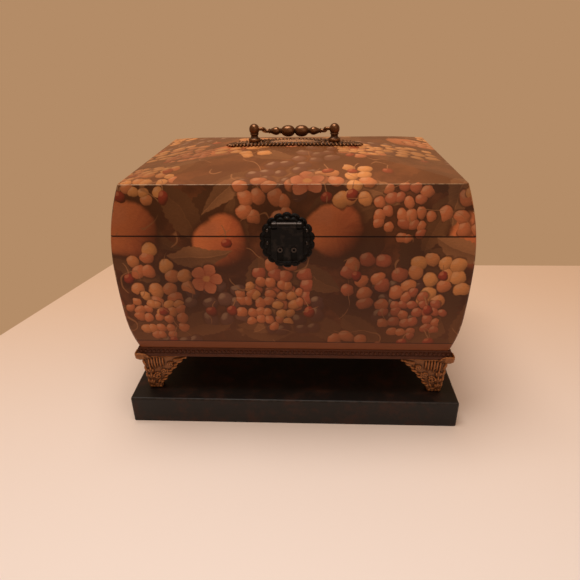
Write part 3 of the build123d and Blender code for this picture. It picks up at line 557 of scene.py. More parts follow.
def print_material(context):
    """Glossy fruit-and-leaf print with painted rims, a foot strip, pale patches along the edges, a painted
    sheen that grows towards the foot and covers the top, and a top painted lighter as if lit from above.
    """
    c = Palette(context.scene.print_colours)
    paint = PrintPaint("varnished_print", c)
    place = paint.object_place()
    x, y, z = (part / MM for part in place.parts())
    facing = paint.facing()
    lean = facing[2]
    on_top = paint.soft(lean, 0.9, 0.95)
    u, v = paint.sheet_place(x, y, z, facing)
    sheet = paint.vector(u, v, 0)
    mottle = paint.noise(sheet, 0.03, 4, 0.6)
    u, v = paint.wobbled(sheet, u, v)
    colour = paint.motifs(sheet, (u, v), mottle)

    # Old varnish: darker patches and brush strokes. Painted sheen: a pale veil over the whole print that grows
    # towards the foot, in place of the bright table reflected in the varnish; the top painted lighter, as if
    # lit from above, and paler still, in place of the wall reflected in it
    gloom = paint.soft(paint.noise(paint.vector(u + 300, v, 0), 0.013, 2), 0.36, 0.62)
    colour = paint.scaled(colour, gloom * 0.5 + 0.55)
    strokes = paint.noise(paint.vector(u * 0.6, v * 1.4, 0), 0.6, 3, 0.65)
    colour = paint.scaled(colour, strokes * 0.5 + 0.75)
    # Painted sheen: a pale veil over all, growing from 132 mm down to 84 mm, in place of the bright table
    # reflected in the varnish
    colour = paint.mix(paint.soft(z, 132, 84) * 0.14 + 0.1, colour, c.haze_and_painted_sheen)
    # Painted light: the print on the top is made half again as bright, as if lit more from above
    colour = paint.scaled(colour, on_top * 0.5 + 1.06)
    # Painted sheen on the top: a mottled pale veil in place of the wall reflected in the varnish
    colour = paint.mix(on_top * (mottle * 0.3 + 0.16), colour, c.haze_and_painted_sheen)

    colour = paint.trimmed(colour, x, y, z)
    colour = paint.paled_edges(colour, x, y, z, facing)

    # Painted rims and the bare band inside
    beyond = paint.most(abs(x) - INNER_X, abs(y) - INNER_Y)
    inside = paint.soft(beyond, 0.6, 0.3) * paint.soft(lean, 0.7, 0.5)
    rim = paint.soft(abs(lean), 0.9, 0.97) * paint.soft(z, LID_RIM + 8, LID_RIM + 4)
    plain = paint.most(inside, rim)
    colour = paint.mix(plain, colour, c.rim)

    # Rounding of the lid's four hips, where its arches along and across meet
    along = x * x * (RISE / EDGE_X**2)
    across = y * y * (RISE / EDGE_Y**2)
    near_hip = paint.most(3 - abs(along - across), 0)
    rounded = paint.bump(near_hip * near_hip * (-MM / 12) * on_top, 1.0)

    relief = paint.noise(place, 900, 2) * 0.5 + strokes * 0.5
    # Noise that varies the varnish's roughness in patches; it paints no colour
    haze_and_painted_sheen = paint.noise(place, 30, 3)
    return paint.surface(
        Base_Color=colour,
        Roughness=haze_and_painted_sheen * 0.16 + 0.34 + plain * 0.2,
        Specular_IOR_Level=0.14,
        Coat_Weight=on_top * 0.22 + 0.06 - plain * 0.04,
        Coat_Roughness=0.2,
        Normal=paint.bump(relief, 0.08 * MM, 0.6, rounded),
    )


def grained(paint, place, stretch, scale):
    """Fine wood grain along one axis."""
    x, y, z = place.parts()
    return paint.noise(paint.vector(x * stretch[0], y * stretch[1], z * stretch[2]), scale, 4, 0.6)


def board_material(context):
    """Black paint over wood, rubbed along the edges."""
    c = Palette(context.scene.finish_colours)
    paint = Paint("black_board")
    place = paint.object_place()
    grain = grained(paint, place, (0.06, 1, 1), 420)
    dust = paint.soft(paint.noise(place, 60, 5, 0.7), 0.45, 0.75)
    facing = paint.facing()
    on_edge = paint.soft(facing[2], 0.25, 0.5) * paint.soft(facing[2], 0.97, 0.85)
    paled_edges = on_edge * paint.soft(paint.noise(place, 240, 3), 0.35, 0.6)
    colour = paint.mix(dust * 0.25, c.board, c.moulding)
    colour = paint.mix(paled_edges * 0.35, colour, c.nail)
    return paint.surface(
        Base_Color=colour,
        Roughness=grain * 0.2 + dust * 0.15 + 0.36,
        Specular_IOR_Level=0.25,
        Coat_Weight=0.08,
        Coat_Roughness=0.25,
        Normal=paint.bump(grain, 0.06 * MM, 0.5),
    )


def moulding_material(context):
    """Stained wood, darker between the beads."""
    c = Palette(context.scene.finish_colours)
    paint = Paint("carved_moulding")
    place = paint.object_place()
    grain = grained(paint, place, (0.2, 0.2, 1), 700)
    blotch = paint.noise(place, 90, 3)
    hollow = paint.soft(paint.node("ShaderNodeNewGeometry", {}, {}, "Pointiness"), 0.5, 0.44)
    colour = paint.mix(grain * 0.6 + blotch * 0.3, c.moulding, c.gilt_low)
    colour = paint.mix(hollow * 0.8, colour, c.bronze_low)
    return paint.surface(
        Base_Color=colour,
        Roughness=grain * 0.2 + 0.42,
        Specular_IOR_Level=0.2,
        Coat_Weight=0.06,
        Coat_Roughness=0.3,
        Normal=paint.bump(grain, 0.1 * MM, 0.6),
    )


def cast_material(name, high, low, metallic, rough, spread):
    """Aged cast metal: bright where it is rubbed, dark in the hollows."""
    paint = Paint(name)
    place = paint.object_place()
    points = paint.node("ShaderNodeNewGeometry", {}, {}, "Pointiness")
    cloud = paint.noise(place, 260, 4, 0.65)
    fine = paint.noise(place, 1500, 3, 0.7)
    rubbed = paint.soft(points + (cloud - 0.5) * 0.06, 0.5 - spread, 0.5 + spread)
    colour = paint.mix(rubbed, low, high)
    colour = paint.mix(paint.soft(cloud, 0.52, 0.75) * 0.35, colour, low)
    return paint.surface(
        Base_Color=colour,
        Metallic=rubbed * (metallic * 0.5) + metallic * 0.5,
        Roughness=fine * 0.2 + rough - rubbed * 0.12,
        Normal=paint.bump(fine * 0.5 + cloud * 0.5, 0.12 * MM, 0.7),
    )


def turned_bronze(context):
    """The smoother bronze of the turned posts and drop handle, made once."""
    name = "handle_bronze_smooth"
    c = Palette(context.scene.finish_colours)
    return bpy.data.materials.get(name) or cast_material(name, c.bronze, c.bronze_low, 0.9, 0.3, 0.10)


def enamel_material(context):
    """Black enamel on stamped metal, with fine specks, rubbed high points and a painted highlight along the top
    of the pin's knuckle.
    """
    c = Palette(context.scene.finish_colours)
    paint = Paint("black_metal")
    place = paint.object_place()
    fine = paint.noise(place, 1800, 3, 0.7)
    cloud = paint.noise(place, 220, 3)
    points = paint.node("ShaderNodeNewGeometry", {}, {}, "Pointiness")
    rubbed = paint.soft(points, 0.56, 0.66) * paint.soft(cloud, 0.45, 0.65) * 0.5
    _, y, z = (part / MM for part in place.parts())
    pivot = joint_place("clasp_hinge")
    # Painted highlight: a pale band of the nail colour along the top of the pin's knuckle; it is merged into
    # the rubbed mask, which then carries both wear and this highlight
    lit_band = paint.soft(z, pivot.z + 0.8, pivot.z + 1.9) * paint.soft(z, pivot.z + 4, pivot.z + 3)
    barrel_highlight = paint.soft(y, pivot.y + 1.2, pivot.y) * lit_band
    rubbed = paint.most(rubbed, barrel_highlight * (cloud * 0.6 + 0.5))
    colour = paint.mix(rubbed, c.clasp, c.nail)
    return paint.surface(
        Base_Color=colour,
        Metallic=rubbed * 0.7 + 0.05,
        Roughness=cloud * 0.15 + 0.4 - rubbed * 0.15,
        Specular_IOR_Level=0.13,
        Coat_Weight=0.03,
        Coat_Roughness=0.25,
        Normal=paint.bump(fine, 0.02 * MM, 0.4),
    )


def metal_material(name, colour, dark, rough, brushed):
    """Plain worked metal with fine marks and a little tarnish."""
    paint = Paint(name)
    place = paint.object_place()
    marks = grained(paint, place, brushed, 2400)
    tarnish = paint.soft(paint.noise(place, 320, 4, 0.6), 0.45, 0.75)
    shade_of = paint.mix(tarnish * 0.6, colour, dark)
    return paint.surface(
        Base_Color=shade_of,
        Metallic=0.95,
        Roughness=marks * 0.18 + tarnish * 0.15 + rough,
        Normal=paint.bump(marks, 0.03 * MM, 0.5),
    )


def wood_material(context):
    """Plain sanded wood of the bottom board."""
    c = Palette(context.scene.finish_colours)
    paint = Paint("bare_wood")
    place = paint.object_place()
    grain = grained(paint, place, (0.05, 1, 1), 260)
    colour = paint.mix(paint.soft(grain, 0.35, 0.7), c.wood, c.moulding)
    relief = paint.bump(grain, 0.1 * MM, 0.5)
    return paint.surface(Base_Color=colour, Roughness=grain * 0.2 + 0.55, Normal=relief)


def velvet_material(context):
    """Short-piled velvet, lighter where the pile lies over."""
    c = Palette(context.scene.finish_colours)
    paint = Paint("velvet_lining")
    place = paint.object_place()
    pile = paint.noise(place, 2600, 2, 0.8)
    brushed = paint.noise(place, 38, 3, 0.6)
    colour = paint.mix(paint.soft(brushed, 0.4, 0.65) * 0.5 + 0.1, dimmed(c.velvet, 0.55), c.velvet)
    colour = paint.mix(pile * 0.35, colour, c.gilt_low)
    return paint.surface(
        Base_Color=colour,
        Roughness=0.95,
        Sheen_Weight=0.35,
        Sheen_Roughness=0.4,
        Sheen_Tint=c.velvet,
        Normal=paint.bump(pile, 0.25 * MM, 0.8),
    )


# Modelling helpers


def deselect():
    """Leave edit mode and select nothing."""
    if bpy.context.object and bpy.context.object.mode != "OBJECT":
        bpy.ops.object.mode_set(mode="OBJECT")
    bpy.ops.object.select_all(action="DESELECT")


def only(piece):
    """Select one piece alone and make it the active one."""
    deselect()
    piece.select_set(True)
    bpy.context.view_layer.objects.active = piece


def start(name, kind, **size):
    """Add a primitive as a new piece, open in edit mode."""
    deselect()
    getattr(bpy.ops.mesh, f"primitive_{kind}_add")(**size)
    piece = bpy.context.object
    piece.name = name
    bpy.ops.object.mode_set(mode="EDIT")
    return piece


def opened(piece):
    """Open a piece in edit mode with all of it selected."""
    only(piece)
    bpy.ops.object.mode_set(mode="EDIT")
    bpy.ops.mesh.select_all(action="SELECT")


def start_from_node(name, node):
    """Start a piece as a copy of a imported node, merged into one closed skin and open in edit mode."""
    deselect()
    source = frame["nodes"][node]
    piece = bpy.data.objects.new(name, source.data.copy())
    bpy.context.scene.collection.objects.link(piece)
    piece.data.materials.clear()
    opened(piece)
    bpy.ops.mesh.remove_doubles(threshold=0.002 * MM)
    return piece


def reshaped(piece, move, only_selected=False):
    """Put the open piece's vertices where a function of place and number says; places are in millimetres."""
    mesh = bmesh.from_edit_mesh(piece.data)
    for number, vertex in enumerate(mesh.verts):
        if vertex.select or not only_selected:
            vertex.co = Vector(move(vertex.co / MM, number)) * MM
    bmesh.update_edit_mesh(piece.data)


def outward():
    """Turn all faces of the open piece outward."""
    bpy.ops.mesh.select_all(action="SELECT")
    bpy.ops.mesh.normals_make_consistent(inside=False)


def closed(piece):
    """Turn all faces of the open piece outward and leave edit mode."""
    outward()
    deselect()
    return piece


def bent(piece, move):
    """Reshape a finished piece by a function of place and number."""
    opened(piece)
    reshaped(piece, move)
    deselect()
    return piece


def stretched(factors, middle=(0, 0, 0)):
    """Scale what is selected in the open piece about a place in metres."""
    bpy.ops.transform.resize(value=factors, center_override=middle)


def pulled(way):
    """Extrude what is selected in the open piece along a way in millimetres."""
    bpy.ops.mesh.extrude_region_move(TRANSFORM_OT_translate={"value": Vector(way) * MM})


def rings(name, stations, segments):
    """A closed turned form from one ring after another; stations are height and radius in millimetres."""
    height, radius = stations[0]
    place = (0, 0, height * MM)
    piece = start(name, "circle", vertices=segments, radius=radius * MM, fill_type="NGON", location=place)
    for next_height, next_radius in stations[1:]:
        pulled((0, 0, next_height - height))
        grow = next_radius / radius
        stretched((grow, grow, 1), (0, 0, next_height * MM))
        height, radius = next_height, next_radius
    return closed(piece)


def put(piece, place=Matrix.Identity(4)):
    """Move a piece by a matrix, or leave it where it is, and apply its transform."""
    only(piece)
    piece.matrix_world = place @ piece.matrix_world
    bpy.context.view_layer.update()
    bpy.ops.object.transform_apply(location=True, rotation=True, scale=True)
    return piece


def copied(piece, place):
    """A copy of a piece with its own mesh, moved by a matrix; a mirrored copy is turned right side out."""
    only(piece)
    bpy.ops.object.duplicate()
    twin = bpy.context.object
    put(twin, place)
    if place.determinant() < 0:
        bpy.ops.object.mode_set(mode="EDIT")
        closed(twin)
    return twin


def joined(name, pieces):
    """Join several pieces into the first."""
    only(pieces[0])
    for piece in pieces[1:]:
        piece.select_set(True)
    bpy.ops.object.join()
    bpy.context.object.name = name
    return bpy.context.object


def modified(piece, kind, **settings):
    """Add a modifier and apply it."""
    only(piece)
    modifier = piece.modifiers.new(kind.title(), kind)
    for name, setting in settings.items():
        setattr(modifier, name, setting)
    bpy.ops.object.modifier_apply(modifier=modifier.name)
    return piece


def fuse(piece, grain, passes=2):
    """Fuse overlapping forms into one cast skin and soften it."""
    modified(piece, "REMESH", mode="VOXEL", voxel_size=grain)
    return modified(piece, "SMOOTH", factor=0.5, iterations=passes)


def cut_flat(piece, height, below):
    """Cut away what lies below a height in millimetres, or above it, and close the cut."""
    opened(piece)
    place = (0, 0, height * MM)
    bpy.ops.mesh.bisect(
        plane_co=place, plane_no=(0, 0, 1), use_fill=True, clear_inner=below, clear_outer=not below
    )
    deselect()


def finished(piece, body, material, replaced=(), angle=40):
    """Give a finished piece its material, slot, body and the nodes that it stands for."""
    only(piece)
    bpy.ops.object.transform_apply(location=True, rotation=True, scale=True)
    bpy.ops.object.shade_smooth_by_angle(angle=radians(angle))
    piece.data.materials.clear()
    piece.data.materials.append(material)
    if replaced:
        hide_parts(*replaced)
    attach(piece, body)
    return piece


def lobe(middle, along, out, length, width, thickness, segments=10):
    """Add a leaf lobe to the open piece: a flattened ball, long in one direction. Sizes are in millimetres."""
    x_axis = Vector(along).normalized()
    y_axis = Vector(out).cross(x_axis).normalized()
    z_axis = x_axis.cross(y_axis)
    turn = Matrix((x_axis, y_axis, z_axis)).transposed().to_euler()
    bpy.ops.mesh.primitive_uv_sphere_add(
        segments=segments,
        ring_count=6,
        radius=MM,
        location=Vector(middle) * MM,
        rotation=turn,
        scale=(length / 2, width / 2, thickness / 2),
    )


def repaint(nodes, material):
    """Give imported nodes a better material."""
    for node in nodes:
        slots = frame["nodes"][node].data.materials
        slots.clear()
        slots.append(material)


# Operators, one for each group of pieces


class KEEPSAKE_OT_walls(bpy.types.Operator):
    """Put the print on the walls and the lid's top"""

    bl_idname = "keepsake.walls"
    bl_label = "Walls and top"

    def execute(self, context):
        sides = ("front", "back", "left", "right")
        walls = [f"{part}_{side}" for part in ("case", "lid") for side in sides]
        repaint(walls + ["lid_top"], print_material(context))
        repaint(["case_bottom"], wood_material(context))
        return {"FINISHED"}


class KEEPSAKE_OT_board(bpy.types.Operator):
    """Paint the board that the box stands on"""

    bl_idname = "keepsake.board"
    bl_label = "Board"

    def execute(self, context):
        repaint(["plinth"], board_material(context))
        return {"FINISHED"}


MOULDING_PROFILE = (
    (-6.5, 0.0), (0.0, 0.0), (0.9, -0.5), (1.2, -1.1), (0.8, -1.6), (0.7, -2.4), (0.7, -4.6), (1.0, -5.1),
    (2.2, -5.4), (2.75, -6.1), (2.8, -6.8), (2.3, -7.5), (1.4, -8.0), (0.9, -8.4), (0.8, -9.0), (-6.5, -9.0),
)


class KEEPSAKE_OT_mouldings(bpy.types.Operator):
    """Model the beaded moulding strips under the walls"""

    bl_idname = "keepsake.mouldings"
    bl_label = "Mouldings"

    def execute(self, context):
        sizes = context.scene.box_sizes
        material = moulding_material(context)
        for quarter, side in enumerate(("front", "right", "back", "left")):
            reach, length = (FOOT_X, FOOT_Y) if quarter % 2 else (FOOT_Y, FOOT_X)
            strip = self.strip(side, reach, length)
            beads = self.beads(reach, length, sizes)
            piece = joined(f"moulding_{side}", [strip, beads])
            put(piece, Matrix.Rotation(radians(90 * quarter), 4, "Z"))
            finished(piece, "case", material, [f"base_moulding_{side}"])
        return {"FINISHED"}

    def strip(self, side, reach, length):
        """A strip drawn out along X from its profile, with mitred ends."""
        count = len(MOULDING_PROFILE)
        strip = start(f"strip_{side}", "circle", vertices=count, radius=MM, fill_type="NGON")

        def on_profile(place, number):
            out, drop = MOULDING_PROFILE[number]
            return -(length + out), -(reach + out), WALL_FOOT + drop

        def mitred(place, number):
            return length - reach - place.y, place.y, place.z

        reshaped(strip, on_profile)
        bpy.ops.mesh.select_all(action="SELECT")
        pulled((2 * length, 0, 0))
        reshaped(strip, mitred, True)
        return closed(strip)

    def beads(self, reach, length, sizes):
        """A row of beads, modelled once and repeated along the strip."""
        count = int(2 * length * MM / sizes.bead_pitch)
        pitch = 2 * length * MM / count
        first = (-length * MM + pitch / 2, -(reach + 0.9) * MM, (WALL_FOOT - 3.5) * MM)
        bead = start("beads", "uv_sphere", segments=8, ring_count=6, radius=sizes.bead_radius, location=first)
        stretched((0.92, 1.0, 0.96), first)
        return modified(
            put(bead),
            "ARRAY",
            count=count,
            use_relative_offset=False,
            use_constant_offset=True,
            constant_offset_displace=(pitch, 0, 0),
        )


class KEEPSAKE_OT_feet(bpy.types.Operator):
    """Model the four cast feet with their leaves"""

    bl_idname = "keepsake.feet"
    bl_label = "Feet"

    # How far the toe stands in from the corner, how far the foot leans out above it, and how far the toe
    # and the arms reach, in millimetres
    toe_setback = 3.3
    lean_out = 2.3
    toe_reach = 10.5
    arm_reach = 29.0

    def execute(self, context):
        c = Palette(context.scene.finish_colours)
        material = cast_material("gilt_casting", c.gilt, c.gilt_low, 0.75, 0.42, 0.07)
        foot = self.foot(context.scene.box_sizes)
        for y_name, y_side in (("back", 1), ("front", -1)):
            for x_name, x_side in (("right", 1), ("left", -1)):
                name = f"foot_{y_name}_{x_name}"
                twin = copied(foot, Matrix.Diagonal((x_side, y_side, 1, 1)))
                twin.name = f"cast_{name}"
                finished(twin, "case", material, [name], 60)
        bpy.data.objects.remove(foot)
        return {"FINISHED"}

    def foot(self, sizes):
        """The back right foot: the plain bracket with leaves on both of its faces, fused."""
        foot = start_from_node("foot_core", "foot_back_right")
        self.corner = Vector((FOOT_X, FOOT_Y, FOOT_TOP))
        self.height = FOOT_TOP - BOARD_TOP
        for face in (0, 1):
            self.leg(face)
            self.flutes(face)
            self.arm(face)
            self.toe(face)
            self.curl(face)
        self.edge()
        fuse(put(foot), sizes.cast_grain, 1)
        cut_flat(foot, BOARD_TOP, True)
        return foot

    def spot(self, face, t, h, out):
        """A point by a face: t from the foot's corner along the arm, h above the board, out from the face."""
        setback = self.toe_setback - self.lean_out * min(h / self.height, 1.0)
        straight, across = (out - setback), (-setback - t)
        x, y = (across, straight) if face == 0 else (straight, across)
        return self.corner + Vector((x, y, h - self.height))

    def reach(self, h):
        """How far along the arm the bracket reaches at a height."""
        return self.toe_reach + self.arm_reach * min(h / self.height, 1.0) ** 1.25

    def leaf(self, face, base, tip, width, thickness, lift=0.8, root=0.0):
        """A lobe from its base to its tip, both given along the arm and up; the tip stands off the face."""
        first = self.spot(face, *base, root)
        last = self.spot(face, *tip, lift)
        out = (0, 1, 0) if face == 0 else (1, 0, 0)
        lobe((first + last) / 2, last - first, out, (last - first).length * 1.15, width, thickness)

    def bead(self, face, place, size):
        """An upright bead on one face of the foot."""
        lobe(self.spot(face, *place), (0, 0, 1), (1, 1, 0), *size)

    def scroll(self, face, middle, radius, width, spin, turns=1.6):
        """A lobe-by-lobe spiral that closes in on its eye."""
        steps = int(turns * 11)
        places = []
        for step in range(steps + 1):
            share = step / steps
            angle = spin * (share * turns * 2 * pi) + 0.6
            out = radius * (1 - 0.78 * share)
            places.append((middle[0] + out * cos(angle), middle[1] + out * sin(angle)))
        for step, (first, last) in enumerate(zip(places, places[1:])):
            self.leaf(face, first, last, width * (1 - 0.4 * step / steps), 3.6, 0.1, 0.1)
        self.bead(face, (*middle, 0.5), (1.9, 1.9, 2.4))

    def leg(self, face):
        """Leaves that climb the leg and a scroll on its middle."""
        for h, spread, length in ((3.8, 1.9, 7.0), (10.0, 2.3, 7.6), (17.0, 2.2, 7.0)):
            for step in (-1, 0, 1):
                middle = 3.2 + 0.08 * h
                tip = (middle + step * spread, h + length - abs(step) * 2.2)
                self.leaf(face, (middle + step * 0.7, h), tip, 2.3, 2.8, 1.1)
            self.leaf(face, (3.3 + 0.08 * h, h - 1.0), (3.3 + 0.08 * h, h + length * 0.8), 0.8, 4.4, 1.3)
        self.scroll(face, (9.6, 14.0), 3.9, 1.9, 1)
        self.leaf(face, (8.0, 4.5), (10.4, 9.5), 2.4, 3.2, 0.4)
        self.leaf(face, (10.5, 4.8), (12.2, 9.0), 1.8, 3.0, 0.2)

    def flutes(self, face):
        """Upright flutes under the top edge."""
        for step in range(6):
            t = 4.6 + 2.55 * step
            foot_of_flute = 21.5 + 0.5 * step + (1.2 if step % 2 else 0)
            self.leaf(face, (t - 0.3, foot_of_flute), (t + 0.4, self.height - 1.6), 1.9, 3.2, 0.5, 0.2)
        self.leaf(face, (2.5, self.height - 1.1), (33.0, self.height - 0.9), 1.5, 3.4, 0.2, 0.3)

    def arm(self, face):
        """A scroll and a pointed leaf on the arm, and leaves along its lower edge."""
        self.scroll(face, (16.4, 19.6), 3.4, 1.8, -1)
        self.scroll(face, (23.6, 27.0), 3.1, 1.7, 1)
        for bend, width in ((0.0, 2.6), (1.6, 1.8), (-1.7, 1.8)):
            self.leaf(face, (26.8, 31.0 + bend * 0.8), (36.4, 34.4 + bend * 0.35), width, 3.4, 0.4)
        self.leaf(face, (27.5, 31.6), (38.0, 34.9), 0.8, 4.6, 0.7)
        self.bead(face, (38.2, 34.6, 0.0), (2.8, 2.6, 2.8))
        for step in range(9):
            h = 5.0 + 3.4 * step
            swing = 0.5 if step % 2 else -0.3
            base = (self.reach(h) - 2.4, h + 0.9)
            tip = (self.reach(h + 3.9) - 0.9 + swing, h + 2.9 - swing)
            self.leaf(face, base, tip, 2.5 + swing * 0.6, 4.4, 0.0)

    def toe(self, face):
        """A row of small beads round the toe, under a thin band."""
        for step in range(4):
            self.bead(face, (1.0 + 2.85 * step, 1.7, 0.1), (3.3, 2.7, 2.9))
        self.leaf(face, (-0.4, 4.0), (10.9, 4.0), 1.2, 2.8, 0.2, 0.2)

    def curl(self, face):
        """A fan that stands out from the corner and curls up over the moulding."""
        for step in range(4):
            base = (0.6 + 2.2 * step, 31.5 + 0.7 * step)
            tip = (-1.3 + 2.3 * step, self.height + 4.2 - 0.8 * step)
            self.leaf(face, base, tip, 2.3, 2.0, 4.0, 0.6)
        self.leaf(face, (-2.6, self.height + 4.0), (5.4, self.height + 2.8), 1.4, 1.6, 4.1, 4.1)

    def edge(self):
        """The leaf's back, up the corner itself, and the rounded corner of the curl."""
        diagonal = Vector((1, 1, 0)).normalized()
        for h, width in ((5.0, 2.6), (12.5, 3.0), (20.0, 3.4), (27.5, 3.8)):
            middle = (self.spot(0, 0.0, h, 0) + self.spot(1, 0.0, h, 0)) / 2
            lobe(middle - diagonal * 0.2, (0.22, 0.22, 1), diagonal, 9.5, width, 2.8)
        under = self.corner + diagonal * 1.9 - Vector((0, 0, 1.6))
        lobe(under, diagonal + Vector((0, 0, 0.9)), diagonal, 7.6, 5.2, 3.2)
        lobe(self.corner + diagonal * 4.4 + Vector((0, 0, 2.3)), (0, 0, 1), diagonal, 4.8, 3.2, 1.6)


class KEEPSAKE_OT_handle_plate(bpy.types.Operator):
    """Model the leafy plate under the drop handle"""

    bl_idname = "keepsake.handle_plate"
    bl_label = "Handle plate"

    def execute(self, context):
        c = Palette(context.scene.finish_colours)
        material = cast_material("handle_bronze", c.bronze, c.bronze_low, 0.85, 0.42, 0.06)
        self.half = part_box("handle_plate")[1].x / MM
        self.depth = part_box("handle_plate")[1].y / MM
        plate = self.sheet()
        self.rim()
        self.middle()
        for side in (-1, 1):
            self.scrolls(side)
            self.post_rose(side)
        fuse(put(plate), context.scene.box_sizes.cast_grain * 0.8, 1)
        finished(plate, "lid", material, ["handle_plate"], 60)
        return {"FINISHED"}

    def droop(self, x):
        """Share of the plate's depth that is left at a distance from its middle."""
        return 1 - (abs(x) / self.half) ** 3

    def sheet(self):
        """The plate's body, bent to the lid's top."""
        plate = start("leafy_handle_plate", "grid", x_subdivisions=40, y_subdivisions=8, size=MM)

        def laid(place, number):
            x = place.x * 2 * (self.half - 3.6)
            y = place.y * 2 * (self.depth - 3.4) * self.droop(x)
            return x, y, arch_z(x, y) - 0.4

        reshaped(plate, laid)
        bpy.ops.mesh.select_all(action="SELECT")
        pulled((0, 0, 1.7))
        outward()
        return plate

    def leaf(self, base, tip, width, thickness, rise=1.4):
        """A lobe that lies on the plate from its base to its tip."""
        first = Vector((*base, arch_z(*base) + rise))
        last = Vector((*tip, arch_z(*tip) + rise - 0.4))
        lobe((first + last) / 2, last - first, (0, 0, 1), (last - first).length * 1.15, width, thickness)

    def rim(self):
        """Leaves round the rim, pointing out and a little towards the ends."""
        count = 17
        for row in (-1, 1):
            for step in range(-count + 1, count):
                x = step * (self.half - 9) / (count - 1)
                slant = 1.4 if x > 0 else -1.4
                inner = (x, row * (self.depth - 6.6) * self.droop(x))
                outer = (x + slant, row * (self.depth - 0.9) * (0.22 + 0.78 * self.droop(x)))
                self.leaf(inner, outer, 2.5, 2.3, 1.6)
                if step % 2:
                    self.leaf(inner, (x + slant / 2, outer[1] * 0.9), 0.9, 3.4, 1.8)
                bead = (x + slant * 0.4, row * (self.depth - 7.6) * self.droop(x))
                lobe((*bead, arch_z(*bead) + 1.5), (0, 0, 1), (1, 0, 0), 2.0, 1.7, 1.7)
        for side in (-1, 1):
            for turn in (-1.0, -0.5, 0, 0.5, 1.0):
                base = (side * (self.half - 9), 0)
                reach = 8.4 - 1.2 * abs(turn)
                self.leaf(base, (base[0] + side * reach * cos(turn), reach * sin(turn)), 2.7, 2.4, 1.6)

    def middle(self):
        """Straight reeds along the middle."""
        for step in range(-2, 3):
            y = step * 2.1
            lobe((0, y, arch_z(0, y) + 1.4), (1, 0, 0), (0, 0, 1), 44 - abs(y) * 1.5, 1.4, 2.1, 8)

    def scrolls(self, side):
        """Two scrolls back to back between the reeds and the end, with small leaves."""
        for row in (-1, 1):
            for step in range(14):
                radius = 4.6 - 0.26 * step
                ends = []
                for turn in (step * 0.45, step * 0.45 + 0.5):
                    ends.append((side * (25.4 + radius * cos(turn)), row * (3.9 + radius * sin(turn))))
                self.leaf(*ends, 1.5, 2.6, 1.6)
            for step in range(5):
                x = side * (42 + 2.7 * step)
                self.leaf((x, 0), (x + side * 3.2, row * (6.0 - 0.9 * step)), 2.0, 2.6, 1.6)
        self.leaf((side * 41, 0), (side * 56, 0), 1.4, 3.4, 1.7)

    def post_rose(self, side):
        """Petals round the foot of a post."""
        for step in range(9):
            angle = 2 * pi * step / 9
            centre = side * POST_X
            base = (centre + 3.6 * cos(angle), 3.6 * sin(angle))
            tip = (centre + 7.6 * cos(angle), 7.6 * sin(angle))
            self.leaf(base, tip, 2.9, 2.6, 1.5)


POST_STATIONS = (
    (-1.4, 5.0), (-0.9, 5.3), (0.9, 5.35), (1.3, 4.9), (1.6, 3.9), (2.4, 3.35), (3.4, 3.1), (4.3, 3.2),
    (4.7, 3.7), (5.2, 3.9), (5.6, 3.6), (5.9, 3.5), (6.5, 3.85), (7.4, 4.25), (8.4, 4.42), (9.4, 4.45),
    (10.4, 4.33), (11.4, 3.98), (12.3, 3.35), (13.0, 2.6), (13.5, 1.7), (13.8, 0.7),
)
BEAD_STATIONS = (
    (0.0, 1.9), (0.35, 2.3), (0.8, 3.0), (1.6, 3.8), (2.8, 4.5), (4.3, 4.9), (6.0, 5.0), (7.7, 4.9),
    (9.3, 4.5), (10.6, 3.8), (11.5, 2.95), (12.0, 2.3), (12.3, 2.1), (12.6, 2.4), (12.9, 2.55), (13.2, 2.2),
    (13.5, 2.0), (14.0, 2.5), (15.0, 3.2), (16.3, 3.58), (17.6, 3.55), (19.0, 3.15), (20.4, 2.55),
    (21.6, 2.05), (22.4, 1.75), (22.8, 2.1), (23.2, 2.25), (23.5, 1.95), (23.9, 1.6),
)


class KEEPSAKE_OT_handle_posts(bpy.types.Operator):
    """Model the two turned posts that hold the drop handle"""

    bl_idname = "keepsake.handle_posts"
    bl_label = "Handle posts"

    def execute(self, context):
        material = turned_bronze(context)
        for name, side in (("left", -1), ("right", 1)):
            post = rings(f"turned_post_{name}", POST_STATIONS, 36)
            put(post, Matrix.Translation(Vector((side * POST_X, 0, PLATE_TOP)) * MM))
            finished(post, "lid", material, [f"handle_post_{name}"], 50)
        return {"FINISHED"}


